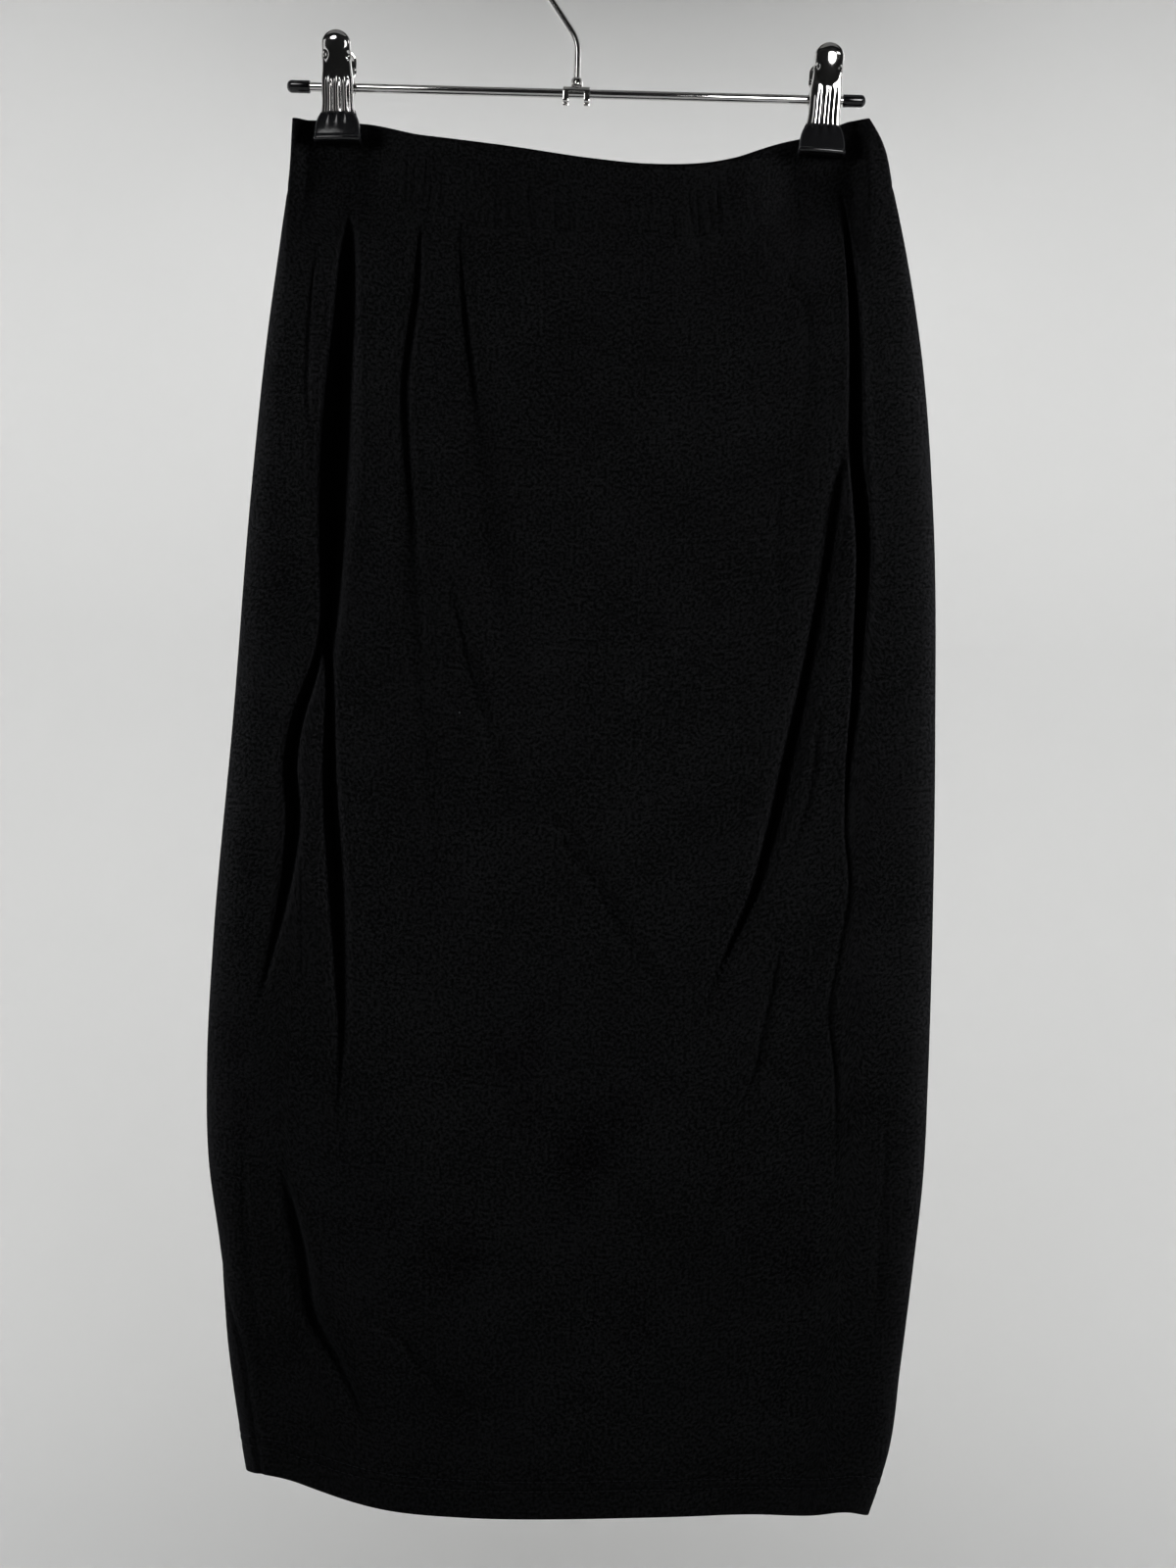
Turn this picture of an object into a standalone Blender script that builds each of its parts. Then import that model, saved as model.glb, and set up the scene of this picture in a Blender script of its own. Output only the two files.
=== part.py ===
"""A midi skirt of black stretch jersey, held by the two clips of a wire hanger.

Metres, +Z up. The skirt's front faces -Y and +X is to the right as seen from the front.
The origin is where a rail carries the hanger: the inside of the top of the hook.
Heights on the hanger and the cloth are given as a drop below the hanger bar's axis.
"""

import math
from collections import namedtuple

import bmesh
import bpy
import numpy as np
from mathutils import Matrix, Vector

for old in list(bpy.data.objects):
    bpy.data.objects.remove(old)

GAP = 0.0003
HALF_GAP = GAP / 2

# The hook: one wire, bent to the left above its stem and then round the rail
HOOK_WIRE = 0.0018
HOOK_BEND = 0.0210
STEM_TOP = 0.0275
STEM_BEND = 0.0040
HOOK_CENTRE_UP = 0.0645
HOOK_EYE_TOP = HOOK_CENTRE_UP + HOOK_BEND - HOOK_WIRE
HOOK_END_ANGLE = math.radians(-38)
HOOK_STEPS = 30

# The bar and what slides on it
BAR_Z = -HOOK_EYE_TOP
BAR_RADIUS = 0.0023
BAR_HALF = 0.1500
BAR_SIDES = 16
BAR_BORE = BAR_RADIUS + GAP
CAP_RADIUS = 0.0032
CAP_TIP_RADIUS = 0.0023
CAP_LENGTH = 0.0120
CAP_END = 0.0012
CAP_ROUNDING = 0.0007
CAP_SIDES = 16

# The saddle that is folded over the bar's middle, and the collar above it
SADDLE_WALL = 0.0009
SADDLE_HALF = 0.0070
SADDLE_FOOT = 0.0030
SADDLE_LEG = 0.0050
SADDLE_STEPS = 8
COLLAR_RADIUS = 0.0031
COLLAR_TOP_RADIUS = 0.0025
COLLAR_HEIGHT = 0.0040
COLLAR_STRAIGHT = 0.0012
COLLAR_SIDES = 16

# The two clips
CLIP_X = {"left": -0.1242, "right": 0.1296}
CLIP_LEAN = {"left": math.radians(-1.4), "right": math.radians(2.6)}
EAR_BORE = BAR_RADIUS + 0.0007
EAR_STEP = 0.0014
EAR_STEP_REACH = 0.0120
EAR_STEP_EASE = 0.0040
CLIP_SHEET = 0.0007
ARM_CROWN = 0.0005
ARM_CROWN_SHARE = 0.72
JAW_CORNER = 0.0016
SPRING_WIRE = 0.0005
SPRING_TURNS = 3
SPRING_SIDES = 8
SPRING_HALF = 0.0040
SPRING_LEG_UP = 0.0165
SPRING_LEG_OUT = 0.0107

# A clip's arm from its rounded finger end to the jaw: height over the bar, half width, how far its face
# stands out, and how far its flanges reach back
Station = namedtuple("Station", "up half stand flange")
ARM = (
    Station(0.0250, 0.0030, 0.0126, 0.0016),
    Station(0.0236, 0.0058, 0.0129, 0.0020),
    Station(0.0205, 0.0073, 0.0130, 0.0022),
    Station(0.0150, 0.0075, 0.0120, 0.0024),
    Station(0.0090, 0.0076, 0.0104, 0.0028),
    Station(0.0055, 0.0078, 0.0094, 0.0068),
    Station(0.0030, 0.0080, 0.0088, 0.0112),
    Station(0.0000, 0.0082, 0.0080, 0.0118),
    Station(-0.0030, 0.0082, 0.0074, 0.0098),
    Station(-0.0060, 0.0082, 0.0069, 0.0052),
    Station(-0.0110, 0.0083, 0.0060, 0.0022),
    Station(-0.0150, 0.0088, 0.0056, 0.0016),
    Station(-0.0190, 0.0100, 0.0056, 0.0014),
    Station(-0.0290, 0.0106, 0.0056, 0.0014),
)
PLATE = ARM[-1]

# A jaw's vinyl cap, ring by ring from its top to its lip
JawRing = namedtuple("JawRing", "up half stand")
JAW = (
    JawRing(-0.0158, 0.0100, 0.0071),
    JawRing(-0.0198, 0.0114, 0.0074),
    JawRing(-0.0270, 0.0122, 0.0074),
    JawRing(-0.0296, 0.0124, 0.0078),
    JawRing(-0.0310, 0.0122, 0.0066),
)

# Cloth
BAND_WALL = 0.0024
JERSEY_WALL = 0.0012
HEM_WALL = 0.0022
HEM_DEPTH = 0.0200
HEM_STEP = 0.0025
BAND_PROUD = 0.0004
PINCHED = BAND_WALL + HALF_GAP
JAW_FACE = PINCHED + GAP
PINCH_FLAT = 0.0145
PINCH_EASE_OUT = 0.0105
PINCH_EASE_IN = 0.0300
PINCH_HELD_DROP = 0.033
PINCH_FREE_DROP = 0.110
LEAST_DEPTH = 0.0030
DEPTH_SOFTNESS = 0.0010

# The tube of cloth, level by level: how far the sides, the front and the back stand from the bar's middle
Level = namedtuple("Level", "drop left right front back roundness")
TUBE = (
    Level(0.005, 0.1475, 0.1500, 0.0100, 0.0080, 0.30),
    Level(0.022, 0.1478, 0.1600, 0.0120, 0.0090, 0.30),
    Level(0.048, 0.1485, 0.1665, 0.0160, 0.0105, 0.34),
    Level(0.080, 0.1520, 0.1740, 0.0190, 0.0125, 0.42),
    Level(0.130, 0.1575, 0.1830, 0.0235, 0.0155, 0.48),
    Level(0.215, 0.1640, 0.1915, 0.0275, 0.0185, 0.50),
    Level(0.330, 0.1700, 0.1955, 0.0300, 0.0200, 0.50),
    Level(0.450, 0.1775, 0.1968, 0.0300, 0.0200, 0.50),
    Level(0.510, 0.1790, 0.1965, 0.0290, 0.0195, 0.50),
    Level(0.560, 0.1770, 0.1954, 0.0275, 0.0190, 0.50),
    Level(0.610, 0.1692, 0.1912, 0.0255, 0.0180, 0.50),
    Level(0.660, 0.1640, 0.1862, 0.0240, 0.0170, 0.50),
    Level(0.705, 0.1565, 0.1812, 0.0225, 0.0160, 0.50),
    Level(0.742, 0.1490, 0.1700, 0.0215, 0.0150, 0.50),
)

# Edges of the cloth across the tube, from the left side (-1) to the right side (+1), as drops
Across = namedtuple("Across", "share edge_front edge_back seam hem_front hem_back")
EDGES = (
    Across(-1.00, 0.0185, 0.0185, 0.0560, 0.7215, 0.7215),
    Across(-0.84, 0.0188, 0.0180, 0.0590, 0.7235, 0.7235),
    Across(-0.56, 0.0280, 0.0215, 0.0690, 0.7270, 0.7255),
    Across(-0.30, 0.0365, 0.0255, 0.0745, 0.7330, 0.7280),
    Across(0.00, 0.0420, 0.0305, 0.0785, 0.7350, 0.7295),
    Across(0.20, 0.0440, 0.0325, 0.0795, 0.7332, 0.7300),
    Across(0.40, 0.0400, 0.0310, 0.0765, 0.7318, 0.7305),
    Across(0.62, 0.0320, 0.0240, 0.0675, 0.7305, 0.7310),
    Across(0.80, 0.0195, 0.0180, 0.0545, 0.7305, 0.7320),
    Across(0.92, 0.0120, 0.0130, 0.0480, 0.7335, 0.7340),
    Across(1.00, 0.0105, 0.0105, 0.0460, 0.7370, 0.7370),
)

# Where the left side seam rolls on to the front near the hem, in radians round the tube
SEAM_ROLL_START = 0.595
SEAM_ROLL_END = 0.665
SEAM_ROLL = 0.34

# The largest folds: troughs that run down the cloth, each through five places across at even steps down.
# Soft ridges stand beside each trough, and it fades at both ends over a share of its length.
Fold = namedtuple("Fold", "face top bottom x_top x_upper x_middle x_lower x_bottom width depth")
FOLDS = (
    Fold("front", 0.026, 0.480, 0.1400, 0.1475, 0.1510, 0.1500, 0.1488, 0.0048, 0.0200),
    Fold("front", 0.036, 0.345, -0.1170, -0.1194, -0.1190, -0.1186, -0.1146, 0.0056, 0.0190),
    Fold("front", 0.305, 0.620, -0.1172, -0.1118, -0.1055, -0.1040, -0.1005, 0.0070, 0.0070),
    Fold("front", 0.285, 0.505, -0.1200, -0.1335, -0.1345, -0.1410, -0.1530, 0.0050, 0.0100),
    Fold("front", 0.050, 0.440, -0.0740, -0.0795, -0.0745, -0.0650, -0.0620, 0.0066, 0.0062),
    Fold("front", 0.072, 0.400, -0.0575, -0.0505, -0.0395, -0.0260, -0.0030, 0.0074, 0.0045),
    Fold("front", 0.180, 0.500, 0.1445, 0.1335, 0.1215, 0.1045, 0.0700, 0.0085, 0.0090),
    Fold("front", 0.565, 0.720, -0.1235, -0.1200, -0.1120, -0.0990, -0.0850, 0.0085, 0.0070),
    Fold("back", 0.030, 0.420, -0.1130, -0.1160, -0.1120, -0.1030, -0.0900, 0.0060, 0.0120),
    Fold("back", 0.030, 0.520, 0.1220, 0.1290, 0.1330, 0.1260, 0.1120, 0.0060, 0.0130),
    Fold("back", 0.070, 0.390, 0.0420, 0.0460, 0.0380, 0.0250, 0.0040, 0.0060, 0.0045),
    Fold("back", 0.340, 0.640, -0.1250, -0.1200, -0.1080, -0.0920, -0.0700, 0.0065, 0.0065),
)
RIDGE = 0.18
RIDGE_SPREAD = 3.0
FOLD_FADE_IN = 0.14
FOLD_FADE_OUT = 0.62

# Gathers that the elastic draws up in the band and just under it, unevenly spaced
GATHERS = 18
GATHER_HEIGHT = 0.0007
GATHER_REACH = 0.030
GATHER_HALF_WIDTH = 0.60
GATHER_FADE = 0.16

# Columns and rows of the cloth's grids, with the shares across where the columns crowd
FRONT_COLUMNS = 60
BACK_COLUMNS = 34
PANEL_ROWS = 25
BAND_ROWS = 4
ROW_SPREAD = 1.15
Crowd = namedtuple("Crowd", "share width extra")
FRONT_CROWDS = (
    Crowd(0.80, 0.08, 2.8),
    Crowd(0.60, 0.20, 0.9),
    Crowd(-0.74, 0.10, 2.4),
    Crowd(-0.43, 0.16, 0.8),
)
BACK_CROWDS = (Crowd(0.66, 0.09, 1.6), Crowd(-0.66, 0.10, 1.4))


def material(name, colour, roughness, metallic=0.0):
    """A Principled material with one colour."""
    made = bpy.data.materials.new(name)
    made.use_nodes = True
    shader = made.node_tree.nodes["Principled BSDF"]
    shader.inputs["Base Color"].default_value = (*colour, 1.0)
    shader.inputs["Roughness"].default_value = roughness
    shader.inputs["Metallic"].default_value = metallic
    return made


JERSEY = material("black_jersey", (0.008, 0.008, 0.010), 0.90)
WAISTBAND_JERSEY = material("black_waistband_jersey", (0.008, 0.008, 0.010), 0.90)
CHROME = material("chromed_steel", (0.62, 0.61, 0.60), 0.12, 1.0)
SPRING_STEEL = material("spring_steel", (0.35, 0.35, 0.36), 0.30, 1.0)
VINYL = material("black_vinyl", (0.010, 0.010, 0.011), 0.28)


def object_from(name, shape, finish):
    """Turns a bmesh into a named object of one material."""
    mesh = bpy.data.meshes.new(name)
    shape.to_mesh(mesh)
    shape.free()
    mesh.materials.append(finish)
    thing = bpy.data.objects.new(name, mesh)
    bpy.context.scene.collection.objects.link(thing)
    return thing


def smooth(thing, degrees=40):
    """Shades a piece smooth but for its sharp edges."""
    thing.data.shade_smooth()
    thing.data.set_sharp_from_angle(angle=math.radians(degrees))


def curve_through(places, values, at):
    """Reads a smooth curve through the given places: cubic pieces with even slopes."""
    places, values = np.asarray(places), np.asarray(values)
    slopes = np.gradient(values, places)
    at = np.clip(at, places[0], places[-1])
    k = np.clip(np.searchsorted(places, at) - 1, 0, len(places) - 2)
    span = places[k + 1] - places[k]
    t = (at - places[k]) / span
    start, end = values[k], values[k + 1]
    lift = (2 * t**3 - 3 * t**2 + 1) * start + (3 * t**2 - 2 * t**3) * end
    return lift + span * ((t**3 - 2 * t**2 + t) * slopes[k] + (t**3 - t**2) * slopes[k + 1])


def tube(column, drop):
    """One column of the tube's table, read at a drop."""
    return curve_through([row.drop for row in TUBE], [getattr(row, column) for row in TUBE], drop)


def edge(column, share):
    """One edge of the cloth, read at a share of the way across."""
    return curve_through([row.share for row in EDGES], [getattr(row, column) for row in EDGES], share)


def ease(value):
    """0 below 0, 1 above 1 and a smooth step between."""
    t = np.clip(value, 0, 1)
    return t * t * (3 - 2 * t)


def trough(fold, x, drop):
    """How deep one fold pushes the cloth in: a trough with soft ridges beside it, fading at both ends."""
    t = (drop - fold.top) / (fold.bottom - fold.top)
    path = [fold.x_top, fold.x_upper, fold.x_middle, fold.x_lower, fold.x_bottom]
    away = (x - curve_through(np.linspace(0, 1, len(path)), path, t)) / fold.width
    across = (1 + RIDGE) * np.exp(-(away**2)) - RIDGE * np.exp(-((away / RIDGE_SPREAD) ** 2))
    along = ease(t / FOLD_FADE_IN) * ease((1 - t) / FOLD_FADE_OUT)
    return fold.depth * across * along


def pinch(x, drop):
    """1 where a clip presses the cloth flat, easing to 0 around and below it."""
    held = np.zeros_like(x)
    for clip_x in CLIP_X.values():
        beyond = (x - clip_x) * math.copysign(1, clip_x)
        room = np.where(beyond > 0, PINCH_EASE_OUT, PINCH_EASE_IN)
        held = np.maximum(held, 1 - ease((np.abs(beyond) - PINCH_FLAT) / room))
    released = ease((drop - PINCH_HELD_DROP) / (PINCH_FREE_DROP - PINCH_HELD_DROP))
    return held * (1 - released)


def gather(share, drop):
    """The elastic's ripples: uneven waves that die out below the band and beside the clips."""
    phase = GATHERS * math.pi * share + 1.8 * np.sin(5.3 * share + 0.6) + np.sin(11.0 * share)
    below_band = drop - edge("seam", share)
    fade = 1 - ease(below_band / GATHER_REACH)
    middle = 1 - ease((np.abs(share) - GATHER_HALF_WIDTH) / GATHER_FADE)
    return GATHER_HEIGHT * np.sin(phase) * fade * middle


def cloth_point(angle, drop, proud=0.0):
    """The cloth's outer face at an angle round the tube: pi is the left side and 1.5 pi the front."""
    share, height = np.cos(angle), np.abs(np.sin(angle))
    left, right = tube("left", drop), tube("right", drop)
    x = (right - left) / 2 + share * (right + left) / 2
    in_front = np.sin(angle) < 0
    full = np.where(in_front, tube("front", drop), tube("back", drop))
    depth = full * height ** tube("roundness", drop)
    folded = np.zeros_like(depth)
    for fold in FOLDS:
        folded += np.where(in_front == (fold.face == "front"), trough(fold, x, drop), 0.0)
    floor = np.minimum(LEAST_DEPTH, depth)
    spare = depth - folded - floor
    depth = floor + np.maximum(spare + np.sqrt(spare**2 + DEPTH_SOFTNESS**2) - DEPTH_SOFTNESS, 0) / 2
    held = pinch(x, drop)
    depth = depth * (1 - held) + PINCHED * held + (gather(share, drop) + proud) * (1 - held)
    return x, np.where(in_front, -depth, depth), BAR_Z - drop


def column_angles(count, start, end, crowded):
    """Angles from start to end, closer together where the folds run."""
    fine = np.linspace(0, 1, 2000)
    share = np.cos(start + (end - start) * fine)
    density = np.ones_like(fine)
    for crowd in crowded:
        density += crowd.extra * np.exp(-(((share - crowd.share) / crowd.width) ** 2))
    run = np.cumsum(density)
    run = (run - run[0]) / (run[-1] - run[0])
    return start + (end - start) * np.interp(np.linspace(0, 1, count), run, fine)


def roll_of_seam(drop):
    """How far the left side seam has come round to the front."""
    return SEAM_ROLL * ease((drop - SEAM_ROLL_START) / (SEAM_ROLL_END - SEAM_ROLL_START))


def cloth_normal(angle, drop, proud):
    """The direction that points out of the cloth at a place on the tube."""
    turn, fall = 0.0008, 0.0004
    below, above = (np.array(cloth_point(angle, drop + step, proud)) for step in (fall, -fall))
    ahead, behind = (np.array(cloth_point(angle + step, drop, proud)) for step in (turn, -turn))
    normal = np.cross(below - above, ahead - behind, axis=0)
    return normal / np.linalg.norm(normal, axis=0)


def part_seam(points, columns, rows):
    """Draws a piece's two side edges back from the side seams by half a gap."""
    for j in range(rows):
        row = points[j * columns:(j + 1) * columns]
        for end, beside in ((0, 1), (columns - 1, columns - 2)):
            along = row[beside] - row[end]
            row[end] += along / np.linalg.norm(along) * HALF_GAP


def cloth_wall(name, angles, down, upper, lower, wall, finish, proud=0.0, hem_wall=None):
    """One piece of cloth: a grid laid on the tube between two edges, then given its thickness inwards."""
    columns, rows = len(angles), len(down)
    share = np.cos(angles)
    side_share = np.abs(share) ** 6 * (share < 0)
    outer, inner = [], []
    for t in down:
        top = edge(upper, share) + HALF_GAP * (upper == "seam")
        bottom = edge(lower, share) - HALF_GAP * (lower == "seam")
        drop = top * (1 - t) + bottom * t
        around = angles + roll_of_seam(drop) * side_share
        place = np.array(cloth_point(around, drop, proud))
        thickness = np.full(columns, wall)
        if hem_wall:
            doubled = 1 - ease((bottom - drop - HEM_DEPTH) / HEM_STEP)
            thickness += (hem_wall - wall) * doubled
        outer.append(place.T)
        inner.append((place - cloth_normal(around, drop, proud) * thickness).T)
    outer, inner = np.concatenate(outer), np.concatenate(inner)
    part_seam(outer, columns, rows)
    part_seam(inner, columns, rows)
    shape = bmesh.new()
    bmesh.ops.create_grid(shape, x_segments=columns - 1, y_segments=rows - 1, size=0.5)
    number = shape.verts.layers.int.new("place in the grid")
    for k, vertex in enumerate(shape.verts):
        vertex[number] = k
        vertex.co = outer[k]
    grown = bmesh.ops.extrude_face_region(shape, geom=shape.faces[:])["geom"]
    for vertex in [piece for piece in grown if isinstance(piece, bmesh.types.BMVert)]:
        vertex.co = inner[vertex[number]]
    bmesh.ops.recalc_face_normals(shape, faces=shape.faces[:])
    thing = object_from(name, shape, finish)
    smooth(thing, 60)
    return thing


def make_skirt():
    """The two panels and the two halves of the waistband."""
    front = column_angles(FRONT_COLUMNS, math.pi, 2 * math.pi, FRONT_CROWDS)
    back = column_angles(BACK_COLUMNS, 0.0, math.pi, BACK_CROWDS)
    length = edge("hem_front", 0.0) - edge("seam", 0.0)
    hem_rows = [1 - (HEM_DEPTH + HEM_STEP) / length, 1 - HEM_DEPTH / length, 1]
    upper_rows = hem_rows[0] * np.linspace(0, 1, PANEL_ROWS - 2)[:-1] ** ROW_SPREAD
    panel_down = [*upper_rows, *hem_rows]
    band_down = np.linspace(0, 1, BAND_ROWS)
    for face, angles in (("front", front), ("back", back)):
        cloth_wall(f"{face}_panel", angles, panel_down, "seam", f"hem_{face}", JERSEY_WALL, JERSEY,
                   hem_wall=HEM_WALL)
        cloth_wall(f"waistband_{face}", angles, band_down, f"edge_{face}", "seam", BAND_WALL,
                   WAISTBAND_JERSEY, proud=BAND_PROUD)


def turned(name, profile, sides, finish, start, along):
    """A solid turned round an axis from a closed profile of (distance along, radius)."""
    shape = bmesh.new()
    loop = [shape.verts.new((radius, 0, step)) for step, radius in profile]
    edges = [shape.edges.new(pair) for pair in zip(loop, loop[1:] + loop[:1])]
    bmesh.ops.spin(shape, geom=loop + edges, axis=(0, 0, 1), cent=(0, 0, 0), angle=2 * math.pi,
                   steps=sides, use_merge=True)
    bmesh.ops.remove_doubles(shape, verts=shape.verts[:], dist=1e-6)
    bmesh.ops.dissolve_degenerate(shape, edges=shape.edges[:], dist=1e-7)
    bmesh.ops.recalc_face_normals(shape, faces=shape.faces[:])
    turn = Vector((0, 0, 1)).rotation_difference(Vector(along)).to_matrix().to_4x4()
    bmesh.ops.transform(shape, matrix=Matrix.Translation(start) @ turn, verts=shape.verts[:])
    thing = object_from(name, shape, finish)
    smooth(thing)
    return thing


def wire(name, points, radius, resolution, finish):
    """A bent wire: a curve through its points with a round section and filled ends."""
    curve = bpy.data.curves.new(name, "CURVE")
    curve.dimensions = "3D"
    curve.bevel_depth = radius
    curve.bevel_resolution = resolution
    curve.use_fill_caps = True
    curve.materials.append(finish)
    line = curve.splines.new("POLY")
    line.points.add(len(points) - 1)
    for place, point in zip(line.points, points):
        place.co = (*point, 1.0)
    thing = bpy.data.objects.new(name, curve)
    bpy.context.scene.collection.objects.link(thing)
    return thing


def box_cutter(name, low, high):
    """A hidden box that a Boolean uses."""
    shape = bmesh.new()
    bmesh.ops.create_cube(shape, size=1.0)
    size = [b - a for a, b in zip(low, high)]
    middle = [(a + b) / 2 for a, b in zip(low, high)]
    place = Matrix.Translation(middle) @ Matrix.Diagonal((*size, 1))
    bmesh.ops.transform(shape, matrix=place, verts=shape.verts[:])
    return hidden(object_from(name, shape, CHROME))


def hidden(thing):
    """Marks a helper that isn't part of the object."""
    thing.hide_render = True
    thing.display_type = "WIRE"
    return thing


def cut(thing, cutter, name):
    """Cuts one solid out of another."""
    modifier = thing.modifiers.new(name, "BOOLEAN")
    modifier.operation = "DIFFERENCE"
    modifier.object = cutter


def make_bar():
    """The bar with its two vinyl end caps."""
    bar = [(0, 0), (0, BAR_RADIUS), (2 * BAR_HALF, BAR_RADIUS), (2 * BAR_HALF, 0)]
    turned("hanger_bar", bar, BAR_SIDES, CHROME, (-BAR_HALF, 0, BAR_Z), (1, 0, 0))
    tip = BAR_HALF + GAP + CAP_END
    cap = [(0, 0), (0, CAP_TIP_RADIUS), (CAP_ROUNDING, CAP_RADIUS), (CAP_LENGTH, CAP_RADIUS),
           (CAP_LENGTH, BAR_BORE), (CAP_END, BAR_BORE), (CAP_END, 0)]
    for side, sign in (("left", -1), ("right", 1)):
        turned(f"bar_cap_{side}", cap, CAP_SIDES, VINYL, (sign * tip, 0, BAR_Z), (-sign, 0, 0))


def hook_line():
    """The hook's centre line: up the stem, left along the slant, then clockwise round the rail."""
    up = Vector((0, 0, 1))
    bend = up * STEM_TOP
    lean = math.asin(HOOK_BEND / (HOOK_CENTRE_UP - STEM_TOP))
    slant = Vector((-math.sin(lean), 0, math.cos(lean)))
    straight = math.sqrt((HOOK_CENTRE_UP - STEM_TOP) ** 2 - HOOK_BEND**2)
    points = [up * (BAR_BORE + SADDLE_WALL + GAP), bend - up * STEM_BEND]
    for step in (0.25, 0.5, 0.75, 1.0):
        points.append(bend - up * STEM_BEND * (1 - step) ** 2 + slant * STEM_BEND * step**2)
    points.append(bend + slant * (straight + STEM_BEND) / 2)
    first = math.pi + lean
    for k in range(HOOK_STEPS + 1):
        angle = first + (HOOK_END_ANGLE - first) * k / HOOK_STEPS
        points.append(up * HOOK_CENTRE_UP + Vector((math.cos(angle), 0, math.sin(angle))) * HOOK_BEND)
    return [point + up * BAR_Z for point in points]


def saddle_side(radius, sign):
    """One skin of the saddle in section: down one leg, over the bar and down the other."""
    arc = [sign * math.pi * (k / SADDLE_STEPS - 0.5) for k in range(SADDLE_STEPS + 1)]
    over = [Vector((0, radius * math.sin(angle), radius * math.cos(angle))) for angle in arc]
    down = Vector((0, 0, -SADDLE_LEG))
    return [over[0] + down, *over, over[-1] + down]


def make_saddle():
    """The saddle: a strip folded over the bar, cut away below the bar between its four feet."""
    shape = bmesh.new()
    outline = saddle_side(BAR_BORE + SADDLE_WALL, 1) + saddle_side(BAR_BORE, -1)
    ring = [shape.verts.new(point + Vector((-SADDLE_HALF, 0, BAR_Z))) for point in outline]
    grown = bmesh.ops.extrude_face_region(shape, geom=[shape.faces.new(ring)])["geom"]
    moved = [piece for piece in grown if isinstance(piece, bmesh.types.BMVert)]
    bmesh.ops.translate(shape, vec=(2 * SADDLE_HALF, 0, 0), verts=moved)
    bmesh.ops.recalc_face_normals(shape, faces=shape.faces[:])
    saddle = object_from("hook_saddle", shape, CHROME)
    smooth(saddle)
    inner = SADDLE_HALF - SADDLE_FOOT
    low, high = (-inner, -2 * SADDLE_LEG, BAR_Z - 2 * SADDLE_LEG), (inner, 2 * SADDLE_LEG, BAR_Z)
    cut(saddle, box_cutter("saddle_window", low, high), "feet")


def make_hook():
    """The hook, with its collar on the saddle."""
    wire("hook", hook_line(), HOOK_WIRE, 2, CHROME)
    foot = BAR_BORE + SADDLE_WALL + GAP
    bore = HOOK_WIRE + GAP
    collar = [(0, bore), (0, COLLAR_RADIUS), (COLLAR_STRAIGHT, COLLAR_RADIUS),
              (COLLAR_HEIGHT, COLLAR_TOP_RADIUS), (COLLAR_HEIGHT, bore)]
    turned("hook_collar", collar, COLLAR_SIDES, CHROME, (0, 0, BAR_Z + foot), (0, 0, 1))
    make_saddle()


def arm_row(station, inset):
    """Points across one station of an arm, from one flange round the crowned face to the other."""
    half = station.half - inset
    flange_edge, corner = station.stand - station.flange, station.stand - CLIP_SHEET
    crowned = [(share * half, station.stand + ARM_CROWN * (1 - share**2))
               for share in (-ARM_CROWN_SHARE, 0.0, ARM_CROWN_SHARE)]
    return [(-half, flange_edge), (-half, corner), *crowned, (half, corner), (half, flange_edge)]


def make_arm(clip, face):
    """One pressed arm: a crowned face, flanges that grow into ears at the bar, and a plate at the jaw."""
    shape = bmesh.new()
    across = len(arm_row(ARM[0], 0))
    bmesh.ops.create_grid(shape, x_segments=across - 1, y_segments=len(ARM) - 1, size=0.5)
    shape.verts.ensure_lookup_table()
    sign = -1 if face == "front" else 1
    for j, station in enumerate(ARM):
        near_pivot = ease((EAR_STEP_REACH - abs(station.up)) / EAR_STEP_EASE)
        inset = EAR_STEP * near_pivot if face == "back" else 0.0
        for i, (x, stand) in enumerate(arm_row(station, inset)):
            shape.verts[j * across + i].co = (x, sign * stand, station.up)
    shape.faces.ensure_lookup_table()
    middle = shape.faces[len(shape.faces) // 2]
    middle.normal_update()
    if middle.normal.y * sign < 0:
        bmesh.ops.reverse_faces(shape, faces=shape.faces[:])
    arm = object_from(f"clip_{clip}_arm_{face}", shape, CHROME)
    thicken = arm.modifiers.new("sheet", "SOLIDIFY")
    thicken.thickness = CLIP_SHEET
    thicken.offset = -1
    thicken.use_even_offset = True
    smooth(arm, 50)
    return arm


def make_jaw(clip, face):
    """The vinyl cap on a jaw: a block, wider at its lip, with a pocket for the arm's plate."""
    sign = -1 if face == "front" else 1
    shape = bmesh.new()
    rings = []
    for ring in JAW:
        half, out = ring.half, ring.stand
        corners = [(-half, JAW_FACE), (half, JAW_FACE), (half, out - JAW_CORNER), (half - JAW_CORNER, out),
                   (-half + JAW_CORNER, out), (-half, out - JAW_CORNER)]
        rings.append([shape.verts.new((x, sign * y, ring.up)) for x, y in corners])
    for upper, lower in zip(rings, rings[1:]):
        for k in range(len(upper)):
            shape.faces.new((upper[k], upper[k - 1], lower[k - 1], lower[k]))
    shape.faces.new(rings[0])
    shape.faces.new(rings[-1])
    bmesh.ops.recalc_face_normals(shape, faces=shape.faces[:])
    jaw = object_from(f"clip_{clip}_jaw_{face}", shape, VINYL)
    near, far = sorted((sign * (PLATE.stand + ARM_CROWN + GAP), sign * (PLATE.stand - PLATE.flange - GAP)))
    low, high = (-PLATE.half - GAP, near, PLATE.up - GAP), (PLATE.half + GAP, far, 0)
    pocket = box_cutter(f"pocket_{clip}_{face}", low, high)
    cut(jaw, pocket, "pocket")
    return jaw, pocket


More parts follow.
